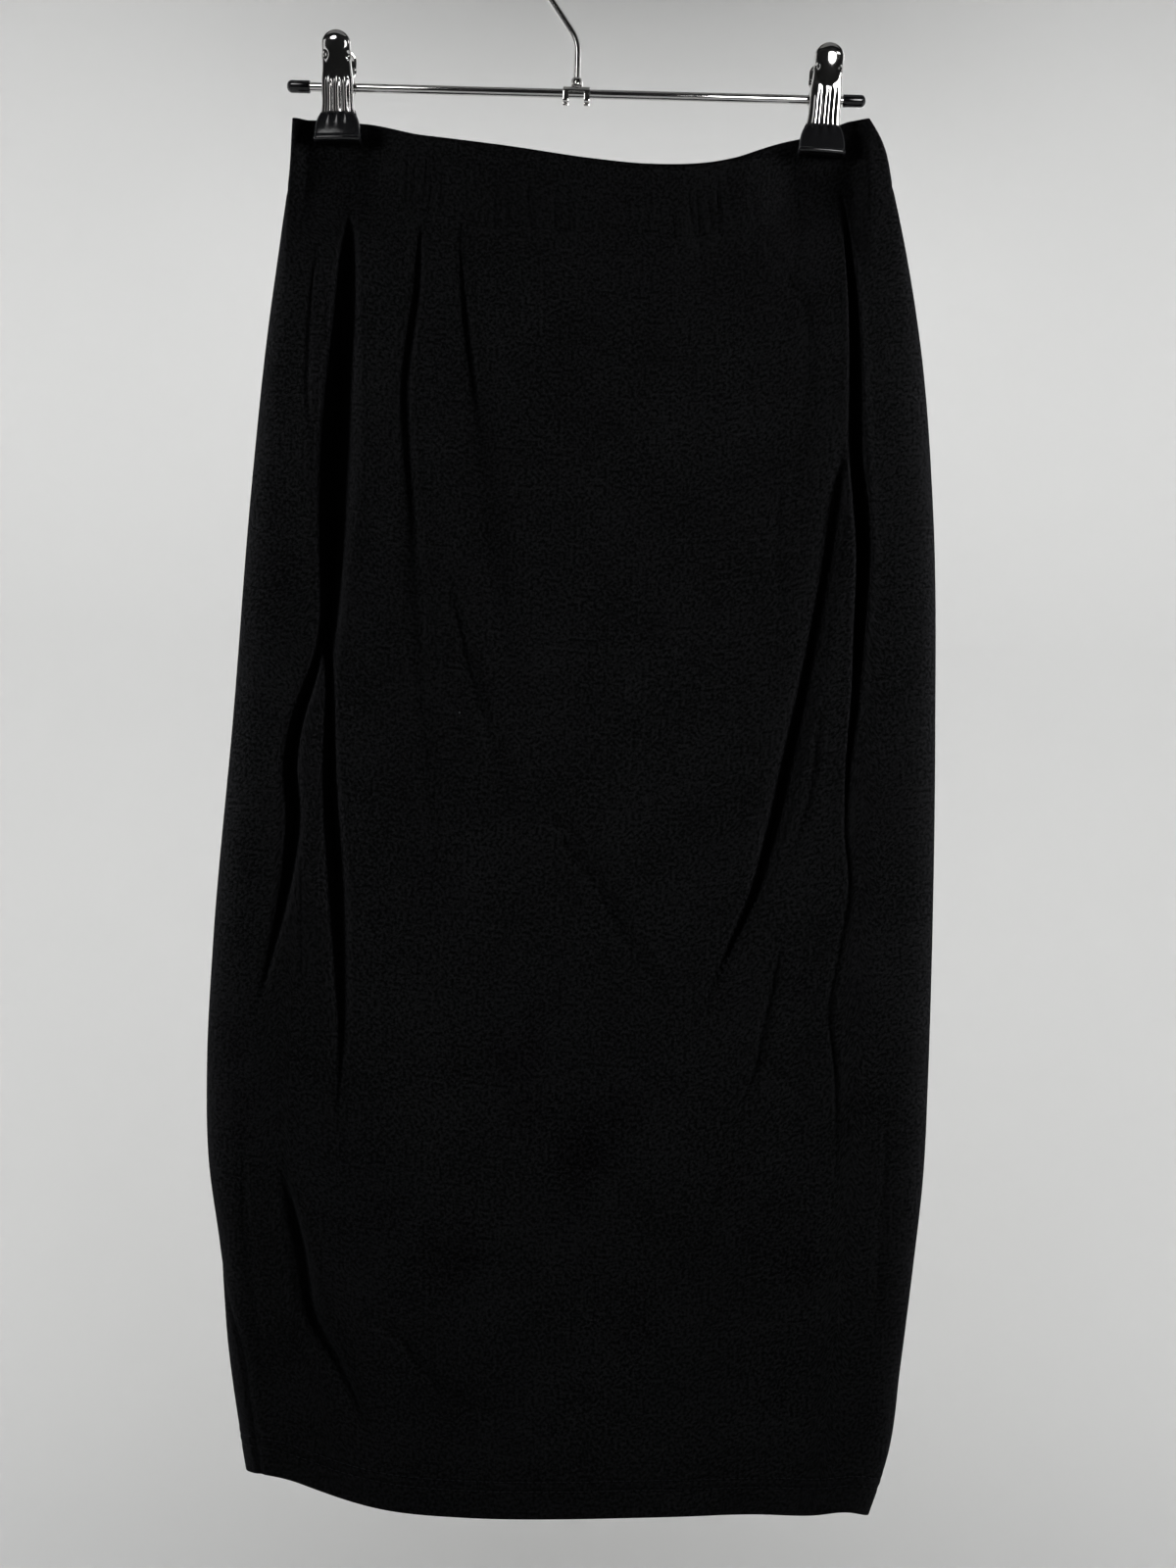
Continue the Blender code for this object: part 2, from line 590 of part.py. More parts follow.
def spring_line():
    """The spring's centre line: a leg behind the front arm, turns round the bar, then the other leg."""
    radius = EAR_BORE + SPRING_WIRE + GAP
    steps = SPRING_SIDES * SPRING_TURNS + SPRING_SIDES // 2
    points = [Vector((-SPRING_HALF, -SPRING_LEG_OUT, SPRING_LEG_UP))]
    for k in range(steps + 1):
        angle = math.pi + 2 * math.pi * k / SPRING_SIDES
        x = -SPRING_HALF + 2 * SPRING_HALF * k / steps
        points.append(Vector((x, radius * math.cos(angle), radius * math.sin(angle))))
    points.append(Vector((SPRING_HALF, SPRING_LEG_OUT, SPRING_LEG_UP)))
    return points


def make_clip(clip):
    """One clip: two arms pierced by the bar, the spring between them and their two vinyl jaws."""
    holder = bpy.data.objects.new(f"clip_{clip}", None)
    bpy.context.scene.collection.objects.link(holder)
    holder.location = (CLIP_X[clip], 0, BAR_Z)
    holder.rotation_euler = (0, CLIP_LEAN[clip], 0)
    reach = 2 * PLATE.half
    bore = [(0, 0), (0, EAR_BORE), (2 * reach, EAR_BORE), (2 * reach, 0)]
    drill = hidden(turned(f"drill_{clip}", bore, BAR_SIDES, CHROME, (-reach, 0, 0), (1, 0, 0)))
    drill.parent = holder
    for face in ("front", "back"):
        arm = make_arm(clip, face)
        cut(arm, drill, "bar hole")
        jaw, pocket = make_jaw(clip, face)
        for piece in (arm, jaw, pocket):
            piece.parent = holder
    spring = wire(f"clip_{clip}_spring", spring_line(), SPRING_WIRE, 1, SPRING_STEEL)
    spring.parent = holder


make_skirt()
make_bar()
make_hook()
for clip in CLIP_X:
    make_clip(clip)
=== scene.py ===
# %% [markdown]
# A midi skirt of black stretch jersey hangs by its waist from a chromed clip hanger.
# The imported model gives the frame: where each piece is and how large it is.
# This lesson dresses it, one piece or finish at a time, for a reader who is learning Blender.
# Lengths are metres, +Z is up, the skirt's front faces -Y, and a drop is a distance below the hanger's bar.

# %% Open the frame
import math
from collections import namedtuple

import bmesh
import bpy
import numpy as np
from mathutils import Matrix, Vector


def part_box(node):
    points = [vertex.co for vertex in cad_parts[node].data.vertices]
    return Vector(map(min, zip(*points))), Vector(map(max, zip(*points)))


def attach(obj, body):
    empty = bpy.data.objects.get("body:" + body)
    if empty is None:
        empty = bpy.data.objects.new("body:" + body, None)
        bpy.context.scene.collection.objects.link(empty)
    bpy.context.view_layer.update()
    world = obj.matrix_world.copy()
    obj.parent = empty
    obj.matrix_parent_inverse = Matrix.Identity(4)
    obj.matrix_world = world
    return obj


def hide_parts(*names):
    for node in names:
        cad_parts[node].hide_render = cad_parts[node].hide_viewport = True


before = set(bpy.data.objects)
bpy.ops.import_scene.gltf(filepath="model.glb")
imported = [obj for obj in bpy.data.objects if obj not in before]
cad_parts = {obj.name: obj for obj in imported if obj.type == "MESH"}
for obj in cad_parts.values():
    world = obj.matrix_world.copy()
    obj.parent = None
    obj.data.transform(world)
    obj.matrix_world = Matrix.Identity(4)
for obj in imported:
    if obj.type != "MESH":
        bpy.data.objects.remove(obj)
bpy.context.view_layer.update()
print("nodes in the frame:", len(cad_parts))

# %% [markdown]
# The hanger bar is the ruler of this object: the clips slide on it and the cloth hangs from the clips.
# Its height and radius are read from the frame, so the looks can't drift from the solids.

# %% Read the bar from the frame and place the clips along it
bar_low, bar_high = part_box("hanger_bar")
BAR_Z = (bar_low.z + bar_high.z) / 2
BAR_RADIUS = (bar_high.z - bar_low.z) / 2
BAR_HALF = (bar_high.x - bar_low.x) / 2
SIDES = {"left": -1, "right": 1}
CLIP_X = {"left": -0.1242, "right": 0.1296}
CLIP_LEAN = {"left": math.radians(-1.4), "right": math.radians(2.6)}
print("bar's height, radius and half length in mm:", 1000 * BAR_Z, 1000 * BAR_RADIUS, 1000 * BAR_HALF)

# %% [markdown]
# Most pieces end the same way: a bmesh becomes a named object, gets its finish, and rides on the one body.
# Doing this in a few helpers keeps every later cell short.

# %% Helpers that hand a shape over as an object and as a finished piece


def object_from(name, shape, finish=None):
    """Turns a bmesh into a smooth object in the scene."""
    mesh = bpy.data.meshes.new(name)
    shape.to_mesh(mesh)
    shape.free()
    if finish:
        mesh.materials.append(finish)
    mesh.shade_smooth()
    made = bpy.data.objects.new(name, mesh)
    bpy.context.scene.collection.objects.link(made)
    return made


def hand_over(thing, stands_for=()):
    """Lets a piece ride on the body and hides the solids that it stands for."""
    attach(thing, "root")
    if stands_for:
        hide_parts(*stands_for)
    print("piece:", thing.name)
    return thing


def piece_from(name, shape, finish, stands_for=(), smooth_below=None):
    """Names a bmesh as a piece and gives it its finish."""
    thing = object_from(name, shape, finish)
    if smooth_below is not None:
        thing.data.set_sharp_from_angle(angle=math.radians(smooth_below))
    print(name, "faces:", len(thing.data.polygons))
    return hand_over(thing, stands_for)


# %% [markdown]
# The photograph was taken level, about 0.88 m in front of the skirt and a hand's breadth above its middle.
# The camera there is rolled a little, so the bar runs downhill to the right.
# A camera's own Z axis points back at the viewer, so a positive turn about it leans the camera to the left.

# %% Set the camera at the photograph's viewpoint
CAMERA_DISTANCE = 0.88
CAMERA_X = 0.0155
CAMERA_DROP = 0.3610
CAMERA_ROLL = math.radians(1.5)
FRAME_HEIGHT = 0.8209
SENSOR = 36.0

camera_data = bpy.data.cameras.new("camera")
camera_data.sensor_fit = "VERTICAL"
camera_data.sensor_height = SENSOR
camera_data.lens = SENSOR * CAMERA_DISTANCE / FRAME_HEIGHT
camera = bpy.data.objects.new("camera", camera_data)
bpy.context.scene.collection.objects.link(camera)
look_level = Matrix.Rotation(math.pi / 2, 4, "X") @ Matrix.Rotation(CAMERA_ROLL, 4, "Z")
camera.matrix_world = Matrix.Translation((CAMERA_X, -CAMERA_DISTANCE, BAR_Z - CAMERA_DROP)) @ look_level
bpy.context.scene.camera = camera
print("lens in mm:", round(camera_data.lens, 1))

# %% [markdown]
# Materials are node trees. Small helpers add a node, a noise or a bump and open a named group,
# so that a recipe further down reads as a list of what the surface does.

# %% Helpers for node trees


def node(tree, kind, **settings):
    """Adds a shader node and sets its properties."""
    made = tree.nodes.new(kind)
    for key, value in settings.items():
        setattr(made, key, value)
    return made


def maths(tree, operation, first, second=None, third=None):
    """Adds a Math node; a number is typed in and a socket is joined."""
    made = node(tree, "ShaderNodeMath", operation=operation)
    for place, value in enumerate((first, second, third)):
        if value is None:
            continue
        if isinstance(value, (int, float)):
            made.inputs[place].default_value = value
        else:
            tree.links.new(value, made.inputs[place])
    return made.outputs[0]


def noise(tree, where, scale=None, detail=2.0):
    """Adds a noise texture that reads a place; with no scale given, a socket is joined later."""
    made = node(tree, "ShaderNodeTexNoise")
    made.inputs["Detail"].default_value = detail
    if scale is not None:
        made.inputs["Scale"].default_value = scale
    tree.links.new(where, made.inputs["Vector"])
    return made


def bump_into(tree, shader, height, distance, strength=1.0):
    """Joins a height to the shader's Normal through a Bump node."""
    bump = node(tree, "ShaderNodeBump")
    bump.inputs["Strength"].default_value = strength
    bump.inputs["Distance"].default_value = distance
    tree.links.new(height, bump.inputs["Height"])
    tree.links.new(bump.outputs["Normal"], shader.inputs["Normal"])


def group_with(name, inputs, outputs):
    """Opens a shader node group with named inputs and outputs; a default is given with each input."""
    tree = bpy.data.node_groups.new(name, "ShaderNodeTree")
    for socket, kind, default in inputs:
        made = tree.interface.new_socket(name=socket, in_out="INPUT", socket_type=kind)
        if default is not None:
            made.default_value = default
    for socket, kind in outputs:
        tree.interface.new_socket(name=socket, in_out="OUTPUT", socket_type=kind)
    return tree, node(tree, "NodeGroupInput"), node(tree, "NodeGroupOutput")


def use_group(tree, group, **values):
    """Places a group in a material and types its values; underscores stand for spaces."""
    made = node(tree, "ShaderNodeGroup", node_tree=group)
    for key, value in values.items():
        made.inputs[key.replace("_", " ")].default_value = value
    return made


def principled(name, colour, roughness, metallic=0.0):
    """Starts a material and returns it with its tree and its Principled shader."""
    material = bpy.data.materials.new(name)
    material.use_nodes = True
    shader = material.node_tree.nodes["Principled BSDF"]
    shader.inputs["Base Color"].default_value = (*colour, 1.0)
    shader.inputs["Roughness"].default_value = roughness
    shader.inputs["Metallic"].default_value = metallic
    print("material:", name)
    return material, material.node_tree, shader


# %% [markdown]
# Jersey is a plain knit: columns of small V-shaped loops, here about 1.3 to the millimetre.
# The loops are far too small to model, so they are a height that feeds a Bump node; the jersey also darkens
# its colour between the loops by the same height, which is painted shade.
# The pattern reads the piece's own UV map, laid out in metres along the cloth, so it follows each fold.

# %% The knit group: V-shaped loops from two slanted waves
FLOAT, VECTOR = "NodeSocketFloat", "NodeSocketVector"

knit, knit_in, knit_out = group_with(
    "plain_knit",
    [("Vector", VECTOR, None), ("Wales per metre", FLOAT, 1300.0), ("Courses per metre", FLOAT, 1700.0)],
    [("Height", FLOAT), ("Valley", FLOAT)],
)
split = node(knit, "ShaderNodeSeparateXYZ")
knit.links.new(knit_in.outputs["Vector"], split.inputs[0])
across_wales = maths(knit, "MULTIPLY", split.outputs["X"], knit_in.outputs["Wales per metre"])
down_courses = maths(knit, "MULTIPLY", split.outputs["Y"], knit_in.outputs["Courses per metre"])
in_wale = maths(knit, "PINGPONG", across_wales, 0.5)
slanted = maths(knit, "ADD", down_courses, maths(knit, "MULTIPLY", in_wale, 1.3))
leg = maths(knit, "ABSOLUTE", maths(knit, "SINE", maths(knit, "MULTIPLY", in_wale, 2 * math.pi)))
loop_end = maths(knit, "ABSOLUTE", maths(knit, "SINE", maths(knit, "MULTIPLY", slanted, math.pi)))
height = maths(knit, "MULTIPLY", leg, maths(knit, "MULTIPLY_ADD", loop_end, 0.6, 0.4))
knit.links.new(height, knit_out.inputs["Height"])
knit.links.new(maths(knit, "SUBTRACT", 1.0, height), knit_out.inputs["Valley"])
print("knit nodes:", len(knit.nodes))

# %% [markdown]
# A worn black garment isn't one black. Washing leaves soft lighter and darker patches,
# single fibres stand proud of the surface, and a few specks of lint cling to it.
# One group makes all three masks from noise at three sizes, and both cloth materials use it.

# %% The wear group: patches, fuzz and lint
wear, wear_in, wear_out = group_with(
    "cloth_wear",
    [("Vector", VECTOR, None), ("Lint amount", FLOAT, 0.5)],
    [("Patches", FLOAT), ("Fuzz", FLOAT), ("Lint", FLOAT)],
)
patches = noise(wear, wear_in.outputs["Vector"], 26.0, 5.0)
fuzz = noise(wear, wear_in.outputs["Vector"], 620.0, 3.0)
specks = node(wear, "ShaderNodeTexVoronoi")
specks.inputs["Scale"].default_value = 34.0
wear.links.new(wear_in.outputs["Vector"], specks.inputs["Vector"])
near_speck = maths(wear, "LESS_THAN", specks.outputs["Distance"], 0.016)
speck_pick = node(wear, "ShaderNodeSeparateColor")
wear.links.new(specks.outputs["Color"], speck_pick.inputs[0])
chosen = maths(wear, "LESS_THAN", speck_pick.outputs[0], wear_in.outputs["Lint amount"])
wear.links.new(patches.outputs["Fac"], wear_out.inputs["Patches"])
wear.links.new(fuzz.outputs["Fac"], wear_out.inputs["Fuzz"])
wear.links.new(maths(wear, "MULTIPLY", near_speck, chosen), wear_out.inputs["Lint"])

# %% [markdown]
# Viscose jersey reflects very little. What tells its folds apart is a faint sheen at grazing angles,
# which is what the sheen lobe of the Principled shader is for.
# The sheen's numbers stand on the sockets themselves, because they are the same all over.

# %% The jersey materials
JERSEY_DARK = (0.0012, 0.0012, 0.0012)
JERSEY_LIGHT = (0.0054, 0.0053, 0.0056)
LINT_COLOUR = (0.05, 0.05, 0.053)


def jersey(name, wales, courses, depth, lint):
    """Black jersey with its knit, patches, fuzz and lint, and painted shade between the knit's loops."""
    material, tree, shader = principled(name, JERSEY_DARK, 0.88)
    laid_flat = node(tree, "ShaderNodeUVMap", uv_map="cloth")
    loops = use_group(tree, knit, Wales_per_metre=wales, Courses_per_metre=courses)
    worn = use_group(tree, wear, Lint_amount=lint)
    for used in (loops, worn):
        tree.links.new(laid_flat.outputs["UV"], used.inputs["Vector"])
    tone = maths(tree, "MULTIPLY_ADD", worn.outputs["Patches"], 0.7, -2.35)
    tone = maths(tree, "MULTIPLY_ADD", worn.outputs["Fuzz"], 5.0, tone)
    tone.node.use_clamp = True
    # The knit's height lightens the loop tops and darkens the colour between them: painted shade in the
    # knit's hollows.
    tone = maths(tree, "MULTIPLY", tone, maths(tree, "MULTIPLY_ADD", loops.outputs["Height"], 0.35, 0.80))
    base = node(tree, "ShaderNodeMix", data_type="RGBA", clamp_factor=True)
    tree.links.new(tone, base.inputs["Factor"])
    base.inputs["A"].default_value = (*JERSEY_DARK, 1.0)
    base.inputs["B"].default_value = (*JERSEY_LIGHT, 1.0)
    dusted = node(tree, "ShaderNodeMix", data_type="RGBA")
    tree.links.new(worn.outputs["Lint"], dusted.inputs["Factor"])
    tree.links.new(base.outputs["Result"], dusted.inputs["A"])
    dusted.inputs["B"].default_value = (*LINT_COLOUR, 1.0)
    tree.links.new(dusted.outputs["Result"], shader.inputs["Base Color"])
    tree.links.new(maths(tree, "MULTIPLY_ADD", worn.outputs["Fuzz"], 0.20, 0.78), shader.inputs["Roughness"])
    relief = maths(tree, "MULTIPLY_ADD", worn.outputs["Fuzz"], 0.35, loops.outputs["Height"])
    bump_into(tree, shader, relief, depth, 0.55)
    shader.inputs["Specular IOR Level"].default_value = 0.015
    shader.inputs["Sheen Weight"].default_value = 0.005
    shader.inputs["Sheen Roughness"].default_value = 0.45
    shader.inputs["Sheen Tint"].default_value = (0.80, 0.86, 1.0, 1.0)
    return material


panel_jersey = jersey("black_jersey", 1300.0, 1700.0, 0.00022, 0.10)
band_jersey = jersey("black_waistband_jersey", 1400.0, 1850.0, 0.00020, 0.05)

# %% [markdown]
# Sewing thread is a two-ply twist. At this size a slanted stripe in a bump is enough to show the twist.

# %% The thread material
thread, thread_tree, thread_shader = principled("black_thread", (0.0036, 0.0036, 0.0040), 0.80)
thread_shader.inputs["Specular IOR Level"].default_value = 0.10
twist = node(thread_tree, "ShaderNodeTexWave")
twist.inputs["Scale"].default_value = 1400.0
twist_place = node(thread_tree, "ShaderNodeTexCoord")
thread_tree.links.new(twist_place.outputs["Object"], twist.inputs["Vector"])
bump_into(thread_tree, thread_shader, twist.outputs["Fac"], 0.00008)

# %% [markdown]
# Metal that is handled picks up hairline scratches and a faint haze where fingers touch it.
# Both the chrome and the spring's steel use one group for this, each with its own values.

# %% The handled-metal group
handled, handled_in, handled_out = group_with(
    "handled_metal",
    [("Vector", VECTOR, None), ("Scratch scale", FLOAT, 420.0)],
    [("Haze", FLOAT), ("Scratches", FLOAT)],
)
haze = noise(handled, handled_in.outputs["Vector"], 110.0, 4.0)
drawn_out = node(handled, "ShaderNodeMapping")
drawn_out.inputs["Scale"].default_value = (1.0, 1.0, 0.06)
drawn_out.inputs["Rotation"].default_value = (0.0, 0.35, 0.0)
handled.links.new(handled_in.outputs["Vector"], drawn_out.inputs["Vector"])
hairlines = noise(handled, drawn_out.outputs["Vector"])
handled.links.new(handled_in.outputs["Scratch scale"], hairlines.inputs["Scale"])
handled.links.new(haze.outputs["Fac"], handled_out.inputs["Haze"])
handled.links.new(hairlines.outputs["Fac"], handled_out.inputs["Scratches"])

# %% The chrome and spring-steel materials


def handled_steel(name, colour, polish, haze_share, scratch_scale, depth):
    """Bright metal whose roughness and surface vary as handled metal does."""
    material, tree, shader = principled(name, colour, polish, 1.0)
    place = node(tree, "ShaderNodeTexCoord")
    marks = use_group(tree, handled, Scratch_scale=scratch_scale)
    tree.links.new(place.outputs["Object"], marks.inputs["Vector"])
    dulled = maths(tree, "MULTIPLY_ADD", marks.outputs["Haze"], haze_share, polish)
    tree.links.new(dulled, shader.inputs["Roughness"])
    bump_into(tree, shader, marks.outputs["Scratches"], depth, 0.25)
    return material


chrome = handled_steel("chromed_steel", (0.70, 0.69, 0.68), 0.03, 0.10, 420.0, 0.00002)
spring_steel = handled_steel("spring_steel", (0.38, 0.38, 0.39), 0.20, 0.15, 900.0, 0.00003)

# %% [markdown]
# The jaws are dipped in soft black vinyl, which dries glossy with a slight orange-peel ripple.

# %% The vinyl material
vinyl, vinyl_tree, vinyl_shader = principled("black_vinyl", (0.006, 0.006, 0.0065), 0.16)
vinyl_place = node(vinyl_tree, "ShaderNodeTexCoord")
ripple = noise(vinyl_tree, vinyl_place.outputs["Object"], 260.0)
bump_into(vinyl_tree, vinyl_shader, ripple.outputs["Fac"], 0.00010, 0.30)
vinyl_gloss = maths(vinyl_tree, "MULTIPLY_ADD", ripple.outputs["Fac"], 0.08, 0.06)
vinyl_tree.links.new(vinyl_gloss, vinyl_shader.inputs["Roughness"])

# %% [markdown]
# Now the cloth. A skirt is a tube, and hanging from two clips it becomes a flat, slack tube.
# At each height its section is an oval whose four reaches come from a short table,
# and everything else (pinch, folds, gathers) pushes that oval in or out.
# A smooth curve through the table's rows gives every height between them.

# %% A smooth curve through a table's values


def curve_through(places, values, at):
    """Reads a smooth curve through the given places: cubic pieces with even slopes."""
    places, values = np.asarray(places), np.asarray(values)
    slopes = np.gradient(values, places)
    at = np.clip(at, places[0], places[-1])
    k = np.clip(np.searchsorted(places, at) - 1, 0, len(places) - 2)
    span = places[k + 1] - places[k]
    t = (at - places[k]) / span
    start, end = values[k], values[k + 1]
    lift = (2 * t**3 - 3 * t**2 + 1) * start + (3 * t**2 - 2 * t**3) * end
    return lift + span * ((t**3 - 2 * t**2 + t) * slopes[k] + (t**3 - t**2) * slopes[k + 1])


def ease(value):
    """0 below 0, 1 above 1 and a smooth step between."""
    t = np.clip(value, 0, 1)
    return t * t * (3 - 2 * t)


# %% The tube's reaches, level by level
Level = namedtuple("Level", "drop left right front back roundness")
TUBE = (
    Level(0.005, 0.1475, 0.1500, 0.0100, 0.0080, 0.30),
    Level(0.022, 0.1478, 0.1600, 0.0120, 0.0090, 0.30),
    Level(0.048, 0.1485, 0.1665, 0.0160, 0.0105, 0.34),
    Level(0.080, 0.1520, 0.1740, 0.0190, 0.0125, 0.42),
    Level(0.130, 0.1575, 0.1830, 0.0235, 0.0155, 0.48),
    Level(0.215, 0.1640, 0.1915, 0.0275, 0.0185, 0.50),
    Level(0.330, 0.1700, 0.1955, 0.0300, 0.0200, 0.50),
    Level(0.450, 0.1775, 0.1968, 0.0300, 0.0200, 0.50),
    Level(0.510, 0.1790, 0.1965, 0.0290, 0.0195, 0.50),
    Level(0.560, 0.1770, 0.1954, 0.0275, 0.0190, 0.50),
    Level(0.610, 0.1692, 0.1912, 0.0255, 0.0180, 0.50),
    Level(0.660, 0.1640, 0.1862, 0.0240, 0.0170, 0.50),
    Level(0.705, 0.1565, 0.1812, 0.0225, 0.0160, 0.50),
    Level(0.742, 0.1490, 0.1700, 0.0215, 0.0150, 0.50),
)


def read_table(table, column, at):
    """Reads one column of a table at a value of its first column."""
    return curve_through([row[0] for row in table], [getattr(row, column) for row in table], at)


def tube(column, drop):
    """One column of the tube's table, read at a drop."""
    return read_table(TUBE, column, drop)


print("the tube's levels:", len(TUBE))


# %% [markdown]
# The top edge sags between the clips, more in front than behind, so a sliver of the back band shows.
# The hem and the waistband's seam are curves of the same kind, all read across the tube from
# its left side at -1 to its right side at +1.

# %% The edges of the cloth
Across = namedtuple("Across", "share edge_front edge_back seam hem_front hem_back")
EDGES = (
    Across(-1.00, 0.0185, 0.0185, 0.0560, 0.7215, 0.7215),
    Across(-0.84, 0.0188, 0.0180, 0.0590, 0.7270, 0.7235),
    Across(-0.56, 0.0280, 0.0215, 0.0690, 0.7357, 0.7255),
    Across(-0.30, 0.0365, 0.0255, 0.0745, 0.7376, 0.7280),
    Across(0.00, 0.0420, 0.0305, 0.0785, 0.7362, 0.7295),
    Across(0.20, 0.0440, 0.0325, 0.0795, 0.7350, 0.7300),
    Across(0.40, 0.0400, 0.0310, 0.0765, 0.7342, 0.7305),
    Across(0.62, 0.0320, 0.0240, 0.0675, 0.7330, 0.7310),
    Across(0.80, 0.0195, 0.0180, 0.0545, 0.7340, 0.7320),
    Across(0.92, 0.0120, 0.0130, 0.0480, 0.7335, 0.7340),
    Across(1.00, 0.0105, 0.0105, 0.0460, 0.7370, 0.7370),
)


def edge(column, share):
    """One edge of the cloth, read at a share of the way across."""
    return read_table(EDGES, column, share)


print("longest front in mm:", round(1000 * max(row.hem_front - row.edge_front for row in EDGES)))


# %% [markdown]
# A fold is a trough with a soft ridge on either side. Each row of the tables gives its half width and depth,
# the share of its length over which it fades in at the top and out at the bottom, how far its steep side
# leans to the right, and the line that it follows down the cloth, as pairs of a drop and an x.
# The folds are the deep valleys under the clips and the large drapes, which the solids have too.
# The creases are finer: sharp cores within those folds, short pleats, and lines that show in grazing light.

# %% The folds of the front
GAP = 0.0003
Crease = namedtuple("Crease", "width depth fade_in fade_out lean line")
FRONT_FOLDS = (
    Crease(0.0028, 0.02000, 0.10, 0.46, 0.1, (
        (0.038, 0.1379), (0.068, 0.1418), (0.107, 0.1451), (0.194, 0.1492), (0.237, 0.1530),
        (0.282, 0.1517), (0.314, 0.1505), (0.347, 0.1479), (0.382, 0.1473))),
    Crease(0.0070, 0.01900, 0.14, 0.34, -0.3, (
        (0.061, -0.1163), (0.081, -0.1168), (0.118, -0.1174), (0.160, -0.1193), (0.201, -0.1202),
        (0.244, -0.1201), (0.284, -0.1195), (0.329, -0.1178))),
    Crease(0.0036, 0.01050, 0.25, 0.60, -0.2, (
        (0.259, -0.1212), (0.304, -0.1260), (0.332, -0.1343), (0.352, -0.1373), (0.383, -0.1349),
        (0.415, -0.1376), (0.464, -0.1468), (0.498, -0.1544))),
    Crease(0.0044, 0.01100, 0.22, 0.80, -0.2, (
        (0.284, -0.1190), (0.314, -0.1177), (0.366, -0.1164), (0.404, -0.1129), (0.452, -0.1091),
        (0.494, -0.1065), (0.535, -0.1074), (0.570, -0.1060))),
    Crease(0.0062, 0.00286, 0.10, 0.62, 0.2, (
        (0.065, -0.0767), (0.086, -0.0782), (0.113, -0.0790), (0.138, -0.0818), (0.159, -0.0833),
        (0.190, -0.0814), (0.225, -0.0775), (0.263, -0.0745), (0.313, -0.0702), (0.382, -0.0639),
        (0.444, -0.0633))),
    Crease(0.0072, 0.00209, 0.18, 0.55, 0.0, (
        (0.069, -0.0581), (0.097, -0.0562), (0.127, -0.0530), (0.172, -0.0459), (0.242, -0.0375),
        (0.311, -0.0257), (0.361, -0.0119), (0.399, 0.0004))),
    Crease(0.0076, 0.00413, 0.20, 0.30, 0.3, (
        (0.147, 0.1471), (0.182, 0.1430), (0.207, 0.1397), (0.256, 0.1330), (0.299, 0.1261),
        (0.350, 0.1164), (0.391, 0.1080), (0.413, 0.1020), (0.440, 0.0907), (0.467, 0.0794),
        (0.484, 0.0729))),
    Crease(0.0064, 0.00302, 0.30, 0.45, 0.2, (
        (0.547, -0.1397), (0.584, -0.1297), (0.607, -0.1241), (0.634, -0.1189), (0.660, -0.1052),
        (0.681, -0.0946), (0.708, -0.0894))),
)
